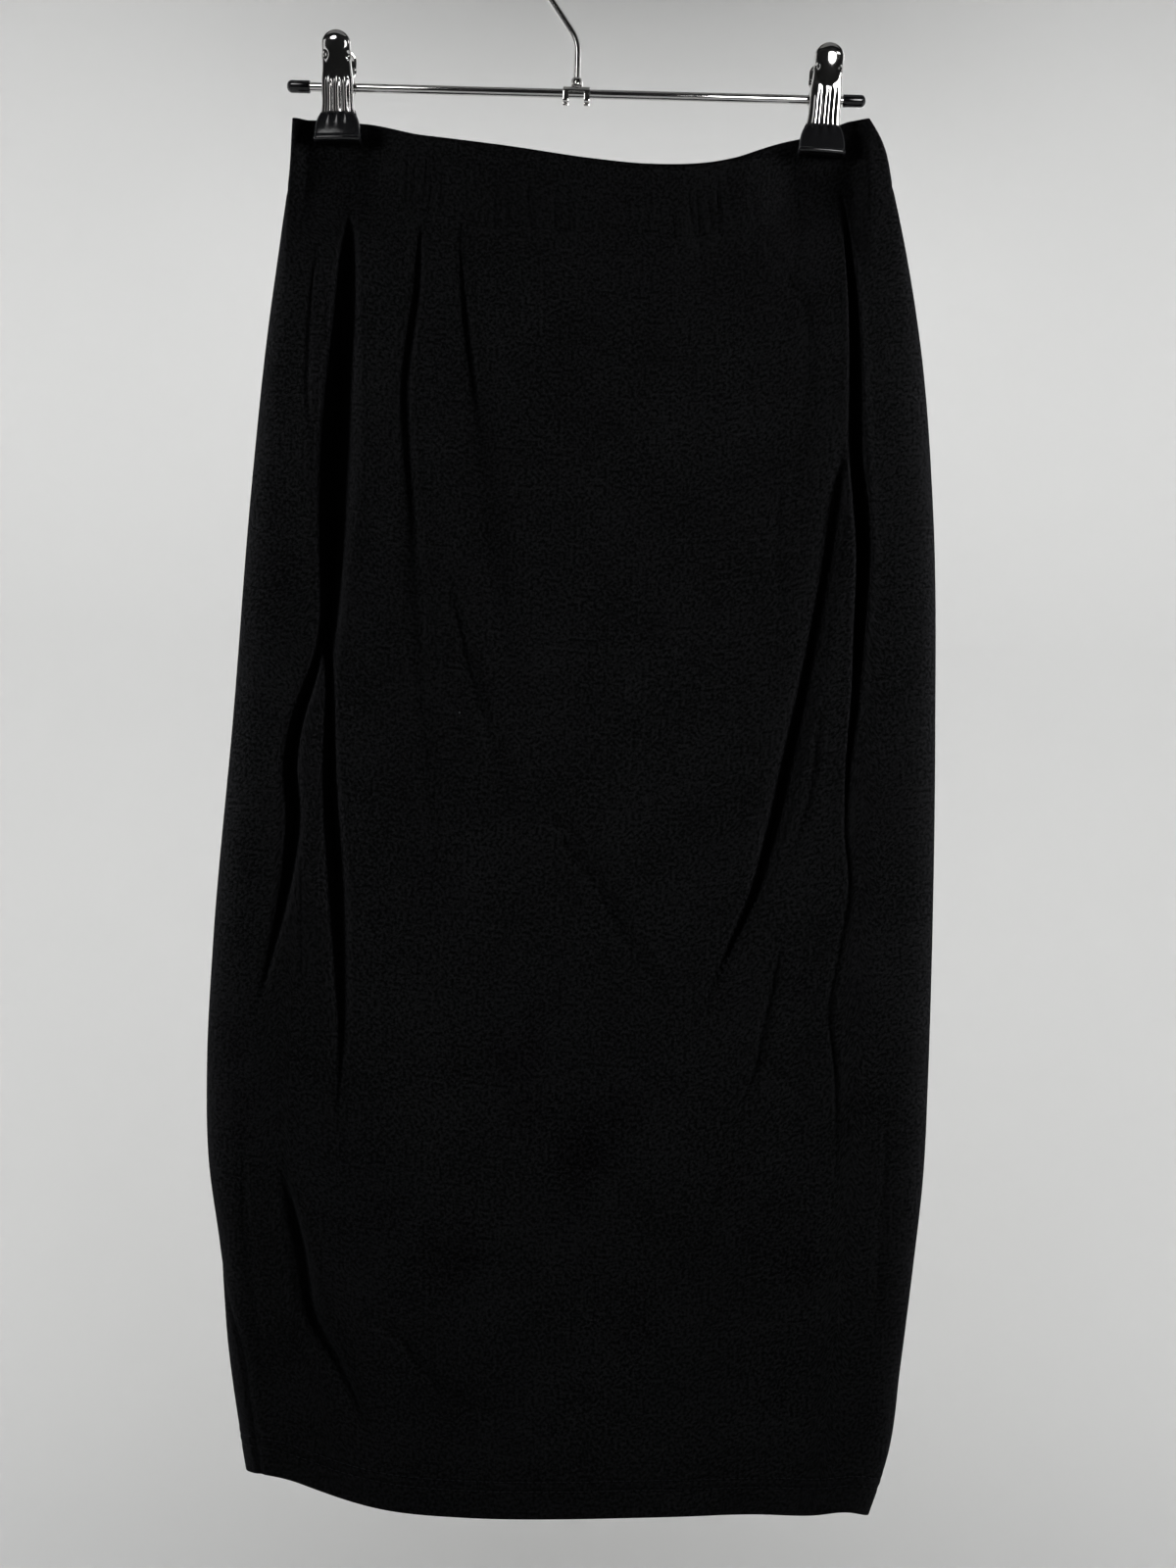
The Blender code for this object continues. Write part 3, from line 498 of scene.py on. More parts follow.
FRONT_CREASES = (
    Crease(0.0017, 0.00135, 0.12, 0.45, 0.0, (
        (0.302, 0.1502), (0.347, 0.1474), (0.382, 0.1473), (0.409, 0.1500), (0.441, 0.1458),
        (0.474, 0.1412), (0.503, 0.1449), (0.557, 0.1474), (0.602, 0.1500))),
    Crease(0.0015, 0.00099, 0.15, 0.30, 0.0, (
        (0.077, -0.1325), (0.094, -0.1325), (0.114, -0.1335), (0.140, -0.1338), (0.160, -0.1338),
        (0.181, -0.1317), (0.202, -0.1297))),
    Crease(0.0013, 0.00059, 0.30, 0.30, 0.0, (
        (0.109, -0.1256), (0.129, -0.1256), (0.150, -0.1260), (0.174, -0.1284))),
    Crease(0.0018, 0.00063, 0.30, 0.40, 0.0, (
        (0.389, -0.1298), (0.414, -0.1291), (0.444, -0.1283), (0.489, -0.1267))),
    Crease(0.0017, 0.00117, 0.06, 0.35, 0.2, (
        (0.069, -0.0766), (0.086, -0.0782), (0.113, -0.0790), (0.138, -0.0818), (0.159, -0.0833),
        (0.190, -0.0814), (0.225, -0.0775), (0.273, -0.0738))),
    Crease(0.0013, 0.00054, 0.30, 0.30, 0.0, ((0.032, -0.0741), (0.040, -0.0729), (0.059, -0.0704))),
    Crease(0.0017, 0.00108, 0.06, 0.45, 0.0, (
        (0.070, -0.0571), (0.090, -0.0571), (0.117, -0.0543), (0.141, -0.0507), (0.167, -0.0470),
        (0.202, -0.0401))),
    Crease(0.0026, 0.00120, 0.25, 0.40, 0.0, (
        (0.242, -0.0616), (0.282, -0.0515), (0.312, -0.0432), (0.332, -0.0362), (0.374, -0.0246),
        (0.406, -0.0107))),
    Crease(0.0024, 0.00200, 0.14, 0.50, -0.2, (
        (0.367, -0.0063), (0.394, 0.0075), (0.412, 0.0210), (0.441, 0.0382), (0.466, 0.0544),
        (0.490, 0.0710))),
    Crease(0.0019, 0.00059, 0.30, 0.30, 0.0, (
        (0.296, 0.0029), (0.305, 0.0061), (0.318, 0.0145), (0.329, 0.0203), (0.343, 0.0241))),
    Crease(0.0020, 0.00560, 0.30, 0.46, 0.3, (
        (0.192, 0.1423), (0.207, 0.1397), (0.256, 0.1330), (0.299, 0.1261), (0.350, 0.1164),
        (0.391, 0.1080), (0.413, 0.1020), (0.440, 0.0907), (0.467, 0.0794), (0.487, 0.0715),
        (0.505, 0.0655))),
    Crease(0.0019, 0.00120, 0.20, 0.30, 0.0, (
        (0.302, 0.1372), (0.328, 0.1324), (0.358, 0.1291), (0.377, 0.1251), (0.396, 0.1191),
        (0.415, 0.1111))),
    Crease(0.0028, 0.00140, 0.30, 0.30, 0.0, (
        (0.428, 0.1174), (0.450, 0.1140), (0.477, 0.1092), (0.510, 0.1021), (0.534, 0.0907))),
    Crease(0.0044, 0.00086, 0.15, 0.45, 0.0, (
        (0.069, 0.0930), (0.091, 0.1057), (0.107, 0.1164), (0.157, 0.1214), (0.218, 0.1145),
        (0.253, 0.1096))),
    Crease(0.0030, 0.00068, 0.30, 0.30, 0.0, (
        (0.193, 0.1098), (0.228, 0.1082), (0.258, 0.1100), (0.290, 0.1178))),
    Crease(0.0024, 0.00135, 0.30, 0.35, 0.2, (
        (0.555, -0.1375), (0.584, -0.1287), (0.602, -0.1242), (0.619, -0.1213), (0.636, -0.1183),
        (0.660, -0.1052), (0.681, -0.0946), (0.706, -0.0900))),
    Crease(0.0026, 0.00108, 0.08, 0.50, 0.0, (
        (0.629, -0.0965), (0.636, -0.0893), (0.646, -0.0730), (0.662, -0.0621), (0.680, -0.0361),
        (0.691, 0.0012), (0.705, 0.0346))),
    Crease(0.0034, 0.00085, 0.25, 0.40, 0.0, (
        (0.541, 0.0944), (0.574, 0.0837), (0.610, 0.0717), (0.632, 0.0517), (0.653, 0.0358))),
    Crease(0.0040, 0.00038, 0.30, 0.40, 0.0, ((0.173, -0.0058), (0.196, -0.0042), (0.216, -0.0027))),
    Crease(0.0034, 0.00081, 0.30, 0.30, 0.0, (
        (0.540, -0.1569), (0.570, -0.1556), (0.610, -0.1520), (0.655, -0.1458), (0.690, -0.1419))),
    Crease(0.0034, 0.00072, 0.30, 0.40, 0.0, (
        (0.516, 0.1723), (0.556, 0.1724), (0.602, 0.1715), (0.657, 0.1700))),
    Crease(0.0036, 0.00072, 0.20, 0.50, 0.0, (
        (0.062, 0.1179), (0.088, 0.1145), (0.123, 0.1095), (0.158, 0.1074))),
    Crease(0.0070, 0.00043, 0.30, 0.50, 0.0, (
        (0.240, 0.0325), (0.280, 0.0395), (0.325, 0.0487), (0.369, 0.0609))),
    Crease(0.0060, 0.00041, 0.30, 0.50, 0.0, (
        (0.521, -0.0002), (0.550, 0.0206), (0.585, 0.0465), (0.624, 0.0675))),
    Crease(0.0030, 0.00081, 0.30, 0.40, 0.0, (
        (0.489, 0.0840), (0.496, 0.0992), (0.508, 0.1170), (0.525, 0.1350))),
)

# %% [markdown]
# The photograph doesn't show the back. It hangs from the same clips, so it gets the same kinds of fold:
# a valley beside each clip, a pleat under the band, and slanting creases towards the hem.

# %% The folds of the back
BACK_FOLDS = (
    Crease(0.0060, 0.0120, 0.14, 0.62, 0.0, (
        (0.030, -0.1130), (0.128, -0.1160), (0.225, -0.1120), (0.323, -0.1030), (0.420, -0.0900))),
    Crease(0.0060, 0.0130, 0.14, 0.62, 0.0, (
        (0.030, 0.1220), (0.152, 0.1290), (0.275, 0.1330), (0.397, 0.1260), (0.520, 0.1120))),
    Crease(0.0060, 0.0045, 0.14, 0.62, 0.0, (
        (0.070, 0.0420), (0.150, 0.0460), (0.230, 0.0380), (0.310, 0.0250), (0.390, 0.0040))),
    Crease(0.0065, 0.0065, 0.14, 0.62, 0.0, (
        (0.340, -0.1250), (0.415, -0.1200), (0.490, -0.1080), (0.565, -0.0920), (0.640, -0.0700))),
)
BACK_CREASES = (
    Crease(0.0024, 0.0022, 0.15, 0.40, 0.0, (
        (0.040, 0.1060), (0.105, 0.1100), (0.170, 0.1120), (0.235, 0.1100), (0.300, 0.1050))),
    Crease(0.0028, 0.0030, 0.10, 0.40, 0.2, (
        (0.060, -0.0800), (0.128, -0.0770), (0.195, -0.0700), (0.263, -0.0610), (0.330, -0.0480))),
    Crease(0.0016, 0.0020, 0.20, 0.30, 0.0, (
        (0.050, -0.1320), (0.103, -0.1350), (0.155, -0.1370), (0.208, -0.1360), (0.260, -0.1340))),
    Crease(0.0022, 0.0020, 0.10, 0.50, 0.0, (
        (0.080, 0.0720), (0.118, 0.0760), (0.155, 0.0780), (0.193, 0.0790), (0.230, 0.0790))),
    Crease(0.0022, 0.0016, 0.10, 0.50, 0.0, (
        (0.080, -0.0200), (0.110, -0.0190), (0.140, -0.0170), (0.170, -0.0150), (0.200, -0.0140))),
    Crease(0.0030, 0.0066, 0.30, 0.30, 0.3, (
        (0.290, 0.1420), (0.357, 0.1340), (0.425, 0.1200), (0.493, 0.1010), (0.560, 0.0740))),
    Crease(0.0028, 0.0022, 0.15, 0.45, -0.2, (
        (0.330, 0.0080), (0.365, 0.0010), (0.400, -0.0080), (0.435, -0.0220), (0.470, -0.0420))),
    Crease(0.0036, 0.0022, 0.20, 0.45, 0.0, (
        (0.460, -0.0640), (0.500, -0.0500), (0.540, -0.0300), (0.580, -0.0080), (0.620, 0.0180))),
    Crease(0.0036, 0.0034, 0.25, 0.30, 0.2, (
        (0.540, 0.1150), (0.585, 0.1080), (0.630, 0.0960), (0.675, 0.0790), (0.720, 0.0600))),
    Crease(0.0036, 0.0034, 0.25, 0.30, 0.2, (
        (0.600, -0.1380), (0.631, -0.1290), (0.662, -0.1190), (0.694, -0.1080), (0.725, -0.0960))),
    Crease(0.0024, 0.0024, 0.20, 0.40, 0.0, (
        (0.420, 0.1560), (0.490, 0.1570), (0.560, 0.1580), (0.630, 0.1570), (0.700, 0.1540))),
)
print("folds and creases:", len(FRONT_FOLDS + FRONT_CREASES), "and", len(BACK_FOLDS + BACK_CREASES))

# %% How deep a fold pushes the cloth in
RIDGE = 0.10
RIDGE_SPREAD = 2.8
SMALL_DROP = 0.001
TAPER = 0.62
TAPER_REACH = 0.55


def trough(fold, x, drop):
    """A trough with soft ridges beside it, measured square to its line and fading at both ends."""
    drops, places = zip(*fold.line)
    run = curve_through(drops, places, drop + SMALL_DROP) - curve_through(drops, places, drop - SMALL_DROP)
    square = np.sqrt(1 + (run / (2 * SMALL_DROP)) ** 2)
    t = (drop - drops[0]) / (drops[-1] - drops[0])
    taper = (1 - TAPER * (1 - ease(t / TAPER_REACH))) * (1 - TAPER * (1 - ease((1 - t) / TAPER_REACH)))
    away = (x - curve_through(drops, places, drop)) / (fold.width * square * taper)
    away = away * (1 + fold.lean * np.tanh(away))
    across = (1 + RIDGE) * np.exp(-(away**2)) - RIDGE * np.exp(-((away / RIDGE_SPREAD) ** 2))
    return fold.depth * across * ease(t / fold.fade_in) * ease((1 - t) / fold.fade_out)


# %% [markdown]
# Each clip presses the front and the back of the band flat against each other.
# The flat part is as wide as the jaw; beyond it the band springs open into a small loop,
# and below it the panel takes most of a hand's width to fall open.

# %% The pinch under the clips
BAND_WALL = 0.0024
PINCHED = BAND_WALL + GAP / 2
PINCH_FLAT = 0.0145
PINCH_EASE_OUT = 0.0105
PINCH_EASE_IN = 0.0300
PINCH_HELD_DROP = 0.033
PINCH_FREE_DROP = 0.110


def pinch(x, drop):
    """1 where a clip presses the cloth flat, easing to 0 around and below it."""
    held = np.zeros_like(x)
    for clip_x in CLIP_X.values():
        beyond = (x - clip_x) * math.copysign(1, clip_x)
        room = np.where(beyond > 0, PINCH_EASE_OUT, PINCH_EASE_IN)
        held = np.maximum(held, 1 - ease((np.abs(beyond) - PINCH_FLAT) / room))
    released = ease((drop - PINCH_HELD_DROP) / (PINCH_FREE_DROP - PINCH_HELD_DROP))
    return held * (1 - released)


# %% [markdown]
# Elastic sewn into the band draws it up into puckers. They are short, sharp and uneven:
# some stop inside the band, some cross its seam and fade a little way down the panel.
# A seeded draw places them, so each run gives the same ones.

# %% The puckers of the waistband
Pucker = namedtuple("Pucker", "share top bottom width depth lean")
PUCKER_COUNT = 58
DEEPEST_PUCKER = 0.0009
PUCKER_FADE_IN = 0.3
PUCKER_FADE_OUT = 0.5
pucker_draw = np.random.default_rng(11)
PUCKERS = {}
for face in ("front", "back"):
    shares = np.linspace(-0.70, 0.74, PUCKER_COUNT) + pucker_draw.normal(0, 0.010, PUCKER_COUNT)
    PUCKERS[face] = [
        Pucker(share, top=pucker_draw.uniform(0.05, 0.45), bottom=pucker_draw.uniform(0.75, 1.9),
               width=pucker_draw.uniform(0.0035, 0.0085),
               depth=pucker_draw.uniform(0.2, 1.0) ** 1.5 * DEEPEST_PUCKER, lean=pucker_draw.normal(0, 0.008))
        for share in shares
    ]
print("puckers:", sum(len(found) for found in PUCKERS.values()))

# %% How the puckers push the cloth


def puckered(face, share, drop):
    """The depth of every pucker at a place: measured down the band from its top edge (0) to its seam (1)."""
    top, seam = edge(f"edge_{face}", share), edge("seam", share)
    down = (drop - top) / (seam - top)
    depth = np.zeros_like(share)
    for pucker in PUCKERS[face]:
        middle = pucker.share + pucker.lean * (down - 0.5)
        t = (down - pucker.top) / (pucker.bottom - pucker.top)
        along = ease(t / PUCKER_FADE_IN) * ease((1 - t) / PUCKER_FADE_OUT)
        depth += pucker.depth * along * np.exp(-(((share - middle) / pucker.width) ** 2))
    return depth


# %% [markdown]
# Cloth that looks smooth still carries slow swells from hanging and handling.
# A handful of crossing waves, too long and shallow to see one by one, keeps highlights from lying straight.

# %% The swells
Swell = namedtuple("Swell", "across down phase height")
SWELLS = (
    Swell(31.0, 9.0, 0.3, 0.00055),
    Swell(-23.0, 17.0, 1.9, 0.00050),
    Swell(47.0, -21.0, 4.1, 0.00030),
    Swell(13.0, 33.0, 2.6, 0.00035),
    Swell(-71.0, 41.0, 5.2, 0.00016),
    Swell(96.0, 27.0, 0.9, 0.00012),
)


def swelling(x, drop):
    """The sum of the slow waves, in metres."""
    return sum(swell.height * np.sin(swell.across * x + swell.down * drop + swell.phase) for swell in SWELLS)


# %% [markdown]
# One function now says where the cloth's outer face is. Its angle runs round the tube:
# half a turn is the left side seam, three quarters the middle of the front, a whole turn the right seam.
# The seams themselves are slight grooves, since the stitching pulls the two cut edges in.

# %% Where the cloth is
LEAST_DEPTH = 0.0030
DEPTH_SOFTNESS = 0.0010
SEAM_GROOVE = 0.0007
SEAM_GROOVE_WIDTH = 0.0016
BACK_SHIFT = 3.0
SWELL_EASE = 0.3


def seam_groove(distance):
    """The groove of a sewn seam at a distance from it."""
    return SEAM_GROOVE * np.exp(-((distance / SEAM_GROOVE_WIDTH) ** 2))


def cloth_point(angle, drop, proud=0.0):
    """The cloth's outer face at an angle round the tube and a drop, as x, y and z."""
    share, height = np.cos(angle), np.abs(np.sin(angle))
    left, right = tube("left", drop), tube("right", drop)
    x = (right - left) / 2 + share * (right + left) / 2
    in_front = np.sin(angle) < 0
    full = np.where(in_front, tube("front", drop), tube("back", drop))
    depth = full * height ** tube("roundness", drop)
    swell = swelling(x + np.where(in_front, 0.0, BACK_SHIFT), drop) * ease(height / SWELL_EASE)
    folded = np.zeros_like(depth)
    for is_front, folds in ((True, FRONT_FOLDS + FRONT_CREASES), (False, BACK_FOLDS + BACK_CREASES)):
        pushed = sum(trough(fold, x, drop) for fold in folds)
        folded += np.where(in_front == is_front, pushed, 0.0)
    folded += np.where(in_front, puckered("front", share, drop), puckered("back", share, drop))
    floor = np.minimum(LEAST_DEPTH, depth)
    spare = depth - folded + swell - floor
    depth = floor + np.maximum(spare + np.sqrt(spare**2 + DEPTH_SOFTNESS**2) - DEPTH_SOFTNESS, 0) / 2
    held = pinch(x, drop)
    depth = depth * (1 - held) + PINCHED * held + proud * (1 - held)
    return x, np.where(in_front, -depth, depth), BAR_Z - drop


def cloth_normal(angle, drop, proud):
    """The direction that points out of the cloth, from small steps round and down the tube."""
    turn, fall = 0.0008, 0.0004
    above, below = (np.array(cloth_point(angle, drop + step, proud)) for step in (-fall, fall))
    before, after = (np.array(cloth_point(angle + step, drop, proud)) for step in (-turn, turn))
    normal = np.cross(below - above, after - before, axis=0)
    return normal / np.linalg.norm(normal, axis=0)


# %% [markdown]
# Near the hem the skirt has twisted a little, so its left side seam comes round to the front.
# Adding a turn to the angles there moves the seam and keeps the outline as it is.

# %% The roll of the left side seam
SEAM_ROLL_START = 0.595
SEAM_ROLL_END = 0.665
SEAM_ROLL = 0.34


def rolled(angles, drop):
    """The angles with the twist near the hem added."""
    share = np.cos(angles)
    side_share = np.abs(share) ** 6 * (share < 0)
    reached = ease((drop - SEAM_ROLL_START) / (SEAM_ROLL_END - SEAM_ROLL_START))
    return angles + SEAM_ROLL * reached * side_share


# %% [markdown]
# A grid spends its faces evenly, but the cloth needs them where the deep folds are.
# The columns are spread with a density that rises at those places.

# %% Crowd the columns where the folds run
Crowd = namedtuple("Crowd", "share width extra")
CROWDS = {
    "front": (Crowd(0.80, 0.07, 3.4), Crowd(0.50, 0.21, 2.2),
              Crowd(-0.74, 0.13, 3.4), Crowd(-0.43, 0.14, 2.0)),
    "back": (Crowd(0.66, 0.12, 1.8), Crowd(-0.66, 0.14, 1.8)),
}


def column_angles(count, start, end, crowded):
    """Angles from start to end, closer together where the folds run."""
    fine = np.linspace(0, 1, 4000)
    share = np.cos(start + (end - start) * fine)
    density = np.ones_like(fine)
    for crowd in crowded:
        density += crowd.extra * np.exp(-(((share - crowd.share) / crowd.width) ** 2))
    run = np.cumsum(density)
    run = (run - run[0]) / (run[-1] - run[0])
    return start + (end - start) * np.interp(np.linspace(0, 1, count), run, fine)


# %% [markdown]
# Each piece of cloth is made alike. A bmesh grid gives the faces, the tube gives its points their places,
# and extruding the whole grid inwards along the cloth's own normals gives the wall.
# The UV map is measured along the cloth, in metres, so the knit neither stretches nor slides in a fold.
# Solidify would do for one sheet, but here both neighbours of a seam must turn inwards at the same angle.

# %% Lengths along the cloth, the side seams, and the wall itself
SEWN_GAP = 0.00002


def run_lengths(points, axis):
    """Distance along the cloth from the first row or column, in metres."""
    steps = np.linalg.norm(np.diff(points, axis=axis), axis=2)
    pad = [(0, 0), (0, 0)]
    pad[axis] = (1, 0)
    return np.pad(np.cumsum(steps, axis=axis), pad)


def run_from_side(around, drop):
    """Roughly how far each point lies from its nearer side seam, along the cloth."""
    points = np.moveaxis(np.array(cloth_point(around, drop)), 0, 2)
    along = run_lengths(points, 1)
    return np.minimum(along, along[:, -1:] - along)


def draw_back_sides(points):
    """Leaves half a hair's breadth at both side seams."""
    for end, beside in ((0, 1), (-1, -2)):
        along = points[:, beside] - points[:, end]
        points[:, end] += along / np.linalg.norm(along, axis=1)[:, None] * SEWN_GAP / 2


def shaped_grid(points, rows):
    """A bmesh grid whose corners are moved to the points, row by row, and numbered for grow_wall."""
    shape = bmesh.new()
    bmesh.ops.create_grid(shape, x_segments=len(points) // rows - 1, y_segments=rows - 1, size=0.5)
    number = shape.verts.layers.int.new("place in the grid")
    for k, vertex in enumerate(shape.verts):
        vertex[number] = k
        vertex.co = points[k]
    return shape, number


def grow_wall(shape, number, inner):
    """Extrudes a numbered grid to its inner points."""
    grown = bmesh.ops.extrude_face_region(shape, geom=shape.faces[:])["geom"]
    for vertex in [part for part in grown if isinstance(part, bmesh.types.BMVert)]:
        vertex.co = inner[vertex[number]]
    bmesh.ops.recalc_face_normals(shape, faces=shape.faces[:])


def wall_from_grid(name, outer, inner, u, v, finish, stands_for):
    """A wall of cloth between its outer and inner points, with its UV map laid out along the cloth."""
    shape, number = shaped_grid(outer.reshape(-1, 3), len(outer))
    grow_wall(shape, number, inner.reshape(-1, 3))
    flat_map = shape.loops.layers.uv.new("cloth")
    u, v = u.ravel(), v.ravel()
    for face in shape.faces:
        for corner in face.loops:
            k = corner.vert[number]
            corner[flat_map].uv = (u[k], v[k])
    shape.verts.layers.int.remove(number)
    return piece_from(name, shape, finish, stands_for, smooth_below=62)


# %% Lay one piece of cloth
HEM_DEPTH = 0.0200
HEM_STEP = 0.0025
HEM_PROUD = 0.0003
STITCH_LINES = (0.0140, 0.0190)
STITCH_SINK = 0.00035
STITCH_SINK_WIDTH = 0.0012
BAND_SEAM_SHARE = 0.35


def cloth_piece(name, angles, down, upper, lower, wall, finish, stands_for, proud=0.0, hem_wall=None):
    """A wall of cloth between two edges of the tube. Returns the piece, its flat size and its area."""
    share = np.cos(angles)
    top = edge(upper, share) + SEWN_GAP / 2 * (upper == "seam")
    bottom = edge(lower, share) - SEWN_GAP / 2 * (lower == "seam")
    t = np.asarray(down)[:, None]
    drop = top * (1 - t) + bottom * t
    around = rolled(np.broadcast_to(angles, drop.shape), drop)
    side_away = run_from_side(around, drop)
    outwards = cloth_normal(around, drop, proud)
    place = np.array(cloth_point(around, drop, proud)) - outwards * seam_groove(side_away)
    if upper == "seam" or lower == "seam":
        place -= outwards * seam_groove(drop - edge("seam", share)) * BAND_SEAM_SHARE
    thickness = np.full(drop.shape, wall)
    if hem_wall:
        folded_up = 1 - ease((bottom - drop - HEM_DEPTH) / HEM_STEP)
        thickness += (hem_wall - wall) * folded_up
        place += outwards * HEM_PROUD * folded_up
        for line in STITCH_LINES:
            place -= outwards * STITCH_SINK * np.exp(-(((bottom - drop - line) / STITCH_SINK_WIDTH) ** 2))
    outer = np.moveaxis(place, 0, 2)
    inner = np.moveaxis(place - outwards * thickness, 0, 2)
    draw_back_sides(outer)
    draw_back_sides(inner)
    u = run_lengths(outer, 1)
    u -= u[:, len(angles) // 2][:, None]
    v = -run_lengths(outer, 0)
    made = wall_from_grid(name, outer, inner, u, v, finish, stands_for)
    first, second = outer[1:, 1:] - outer[:-1, :-1], outer[1:, :-1] - outer[:-1, 1:]
    area = float(np.linalg.norm(np.cross(first, second), axis=2).sum() / 2)
    width, length = float(np.ptp(u, axis=1).max()), float(-v.min())
    print(name, "flat in mm:", round(1000 * width), "by", round(1000 * length), "area in m2:", round(area, 4))
    return made, (width, length), min(area, width * length)


# %% Cut and hang the two panels and the two halves of the band
JERSEY_WALL = 0.0012
HEM_WALL = 0.0022
BAND_PROUD = 0.0002
PANEL_ROWS = 180
HEM_ROWS = 26
BAND_ROWS = 34
PANEL_COLUMNS = {"front": 236, "back": 200}
BAND_COLUMNS = {"front": 420, "back": 380}
HALVES = {"front": (math.pi, 2 * math.pi), "back": (0.0, math.pi)}
FINENESS = 1.0


def rows_down(count, hem_count, hem_share):
    """Shares of the way down a panel: even ones, and then closer ones for the turned-up hem."""
    above = np.linspace(0, hem_share, int(count * FINENESS), endpoint=False)
    return np.concatenate([above, np.linspace(hem_share, 1, int(hem_count * FINENESS))])


panel_length = float(edge("hem_front", 0.0) - edge("seam", 0.0))
panel_rows = rows_down(PANEL_ROWS, HEM_ROWS, 1 - (HEM_DEPTH + 2 * HEM_STEP) / panel_length)
for face, (start, end) in HALVES.items():
    angles = column_angles(int(PANEL_COLUMNS[face] * FINENESS), start, end, CROWDS[face])
    cloth_piece(f"skirt_{face}", angles, panel_rows, "seam", f"hem_{face}", JERSEY_WALL,
                               panel_jersey, [f"{face}_panel"], hem_wall=HEM_WALL)
band_rows = np.linspace(0, 1, int(BAND_ROWS * FINENESS))
for face, (start, end) in HALVES.items():
    angles = np.linspace(start, end, int(BAND_COLUMNS[face] * FINENESS))
    cloth_piece(f"band_{face}", angles, band_rows, f"edge_{face}", "seam", BAND_WALL,
                              band_jersey, [f"waistband_{face}"], proud=BAND_PROUD)

# %% [markdown]
# A twin needle sews the hem from the right side: two rows of straight stitches, 5 mm apart.
# Each stitch is a short grain that dips into the cloth at both ends, so a stretched ball with a few faces
# is enough. They are laid end to end along the cloth, a row at a time, and all of one panel's are one piece.

# %% Sew the hem
STITCH_LENGTH = 0.0030
STITCH_PITCH = 0.0036
STITCH_RADIUS = 0.00024
STITCH_SINK_IN = 0.00010
SIDE_MARGIN = 0.0030
PATH_POINTS = 1600


def sew_hem(face):
    """Lays the two rows of hem stitches along one panel."""
    fine = np.linspace(*HALVES[face], PATH_POINTS)
    shape = bmesh.new()
    for line in STITCH_LINES:
        drop = edge(f"hem_{face}", np.cos(fine)) - line
        around = rolled(fine, drop)
        outwards = cloth_normal(around, drop, 0.0)
        lift = HEM_PROUD - STITCH_SINK + STITCH_RADIUS - STITCH_SINK_IN
        path = (np.array(cloth_point(around, drop)) + outwards * lift).T
        along = np.concatenate([[0], np.cumsum(np.linalg.norm(np.diff(path, axis=0), axis=1))])
        places = np.arange(SIDE_MARGIN, along[-1] - SIDE_MARGIN, STITCH_PITCH)
        for place in places:
            ends = [Vector([float(np.interp(at, along, path[:, k])) for k in range(3)])
                    for at in (place, place + STITCH_LENGTH)]
            normal = Vector([float(np.interp(place, along, outwards[k])) for k in range(3)])
            forward = (ends[1] - ends[0]).normalized()
            sideways = normal.cross(forward).normalized()
            turn = Matrix((forward, sideways, forward.cross(sideways))).transposed().to_4x4()
            grain = Matrix.Diagonal((STITCH_LENGTH / 2, STITCH_RADIUS, STITCH_RADIUS, 1))
            lying = turn @ grain @ Matrix.Rotation(math.pi / 2, 4, "Y")
            placed = Matrix.Translation((ends[0] + ends[1]) / 2) @ lying
            bmesh.ops.create_uvsphere(shape, u_segments=6, v_segments=5, radius=1.0, matrix=placed)
    bmesh.ops.recalc_face_normals(shape, faces=shape.faces[:])
    stitches = piece_from(f"hem_stitches_{face}", shape, thread, smooth_below=80)


for face in HALVES:
    sew_hem(face)

# %% [markdown]
# The hanger is plain metalwork. Round things are spun from a half section with bmesh's spin,
# and wires are curves with a round bevel. Both helpers place the piece straight into the frame.

# %% Helpers for turned pieces and wires


def spun(section, sides, closed=True):
    """Spins a section of (distance along, radius) once round +Z."""
    shape = bmesh.new()
    line = [shape.verts.new((radius, 0, step)) for step, radius in section]
    edges = [shape.edges.new(pair) for pair in zip(line, line[1:] + (line[:1] if closed else []))]
    bmesh.ops.spin(shape, geom=line + edges, axis=(0, 0, 1), cent=(0, 0, 0), angle=2 * math.pi,
                   steps=sides, use_merge=True)
    return shape


def turned(name, profile, sides, finish, start, along, stands_for, smooth_below=40):
    """Spins a closed section and stands it on its axis."""
    shape = spun(profile, sides)
    bmesh.ops.remove_doubles(shape, verts=shape.verts[:], dist=1e-6)
    bmesh.ops.dissolve_degenerate(shape, edges=shape.edges[:], dist=1e-7)
    bmesh.ops.recalc_face_normals(shape, faces=shape.faces[:])
    turn = Vector((0, 0, 1)).rotation_difference(Vector(along)).to_matrix().to_4x4()
    bmesh.ops.transform(shape, matrix=Matrix.Translation(start) @ turn, verts=shape.verts[:])
    return piece_from(name, shape, finish, stands_for, smooth_below)


def wire(name, points, radius, resolution, finish, stands_for):
    """A bent wire: a curve through its points, with a round section and filled ends."""
    curve = bpy.data.curves.new(name, "CURVE")
    curve.dimensions = "3D"
    curve.bevel_depth = radius
    curve.bevel_resolution = resolution
    curve.use_fill_caps = True
    curve.materials.append(finish)
    line = curve.splines.new("POLY")
    line.points.add(len(points) - 1)
    for place, point in zip(line.points, points):
        place.co = (*point, 1.0)
    thing = bpy.data.objects.new(name, curve)
    bpy.context.scene.collection.objects.link(thing)
    return hand_over(thing, stands_for)


def rounded_end(step, radius, rounding, count=6):
    """A quarter round between a flat end and a side, as points of a half section."""
    turns = [math.pi / 2 * k / count for k in range(count + 1)]
    return [(step + rounding * (1 - math.cos(turn)), radius - rounding * (1 - math.sin(turn)))
            for turn in turns]


# %% [markdown]
# The bar is a straight wire, cut off square and slightly rounded, with a soft vinyl cap pushed on each end.

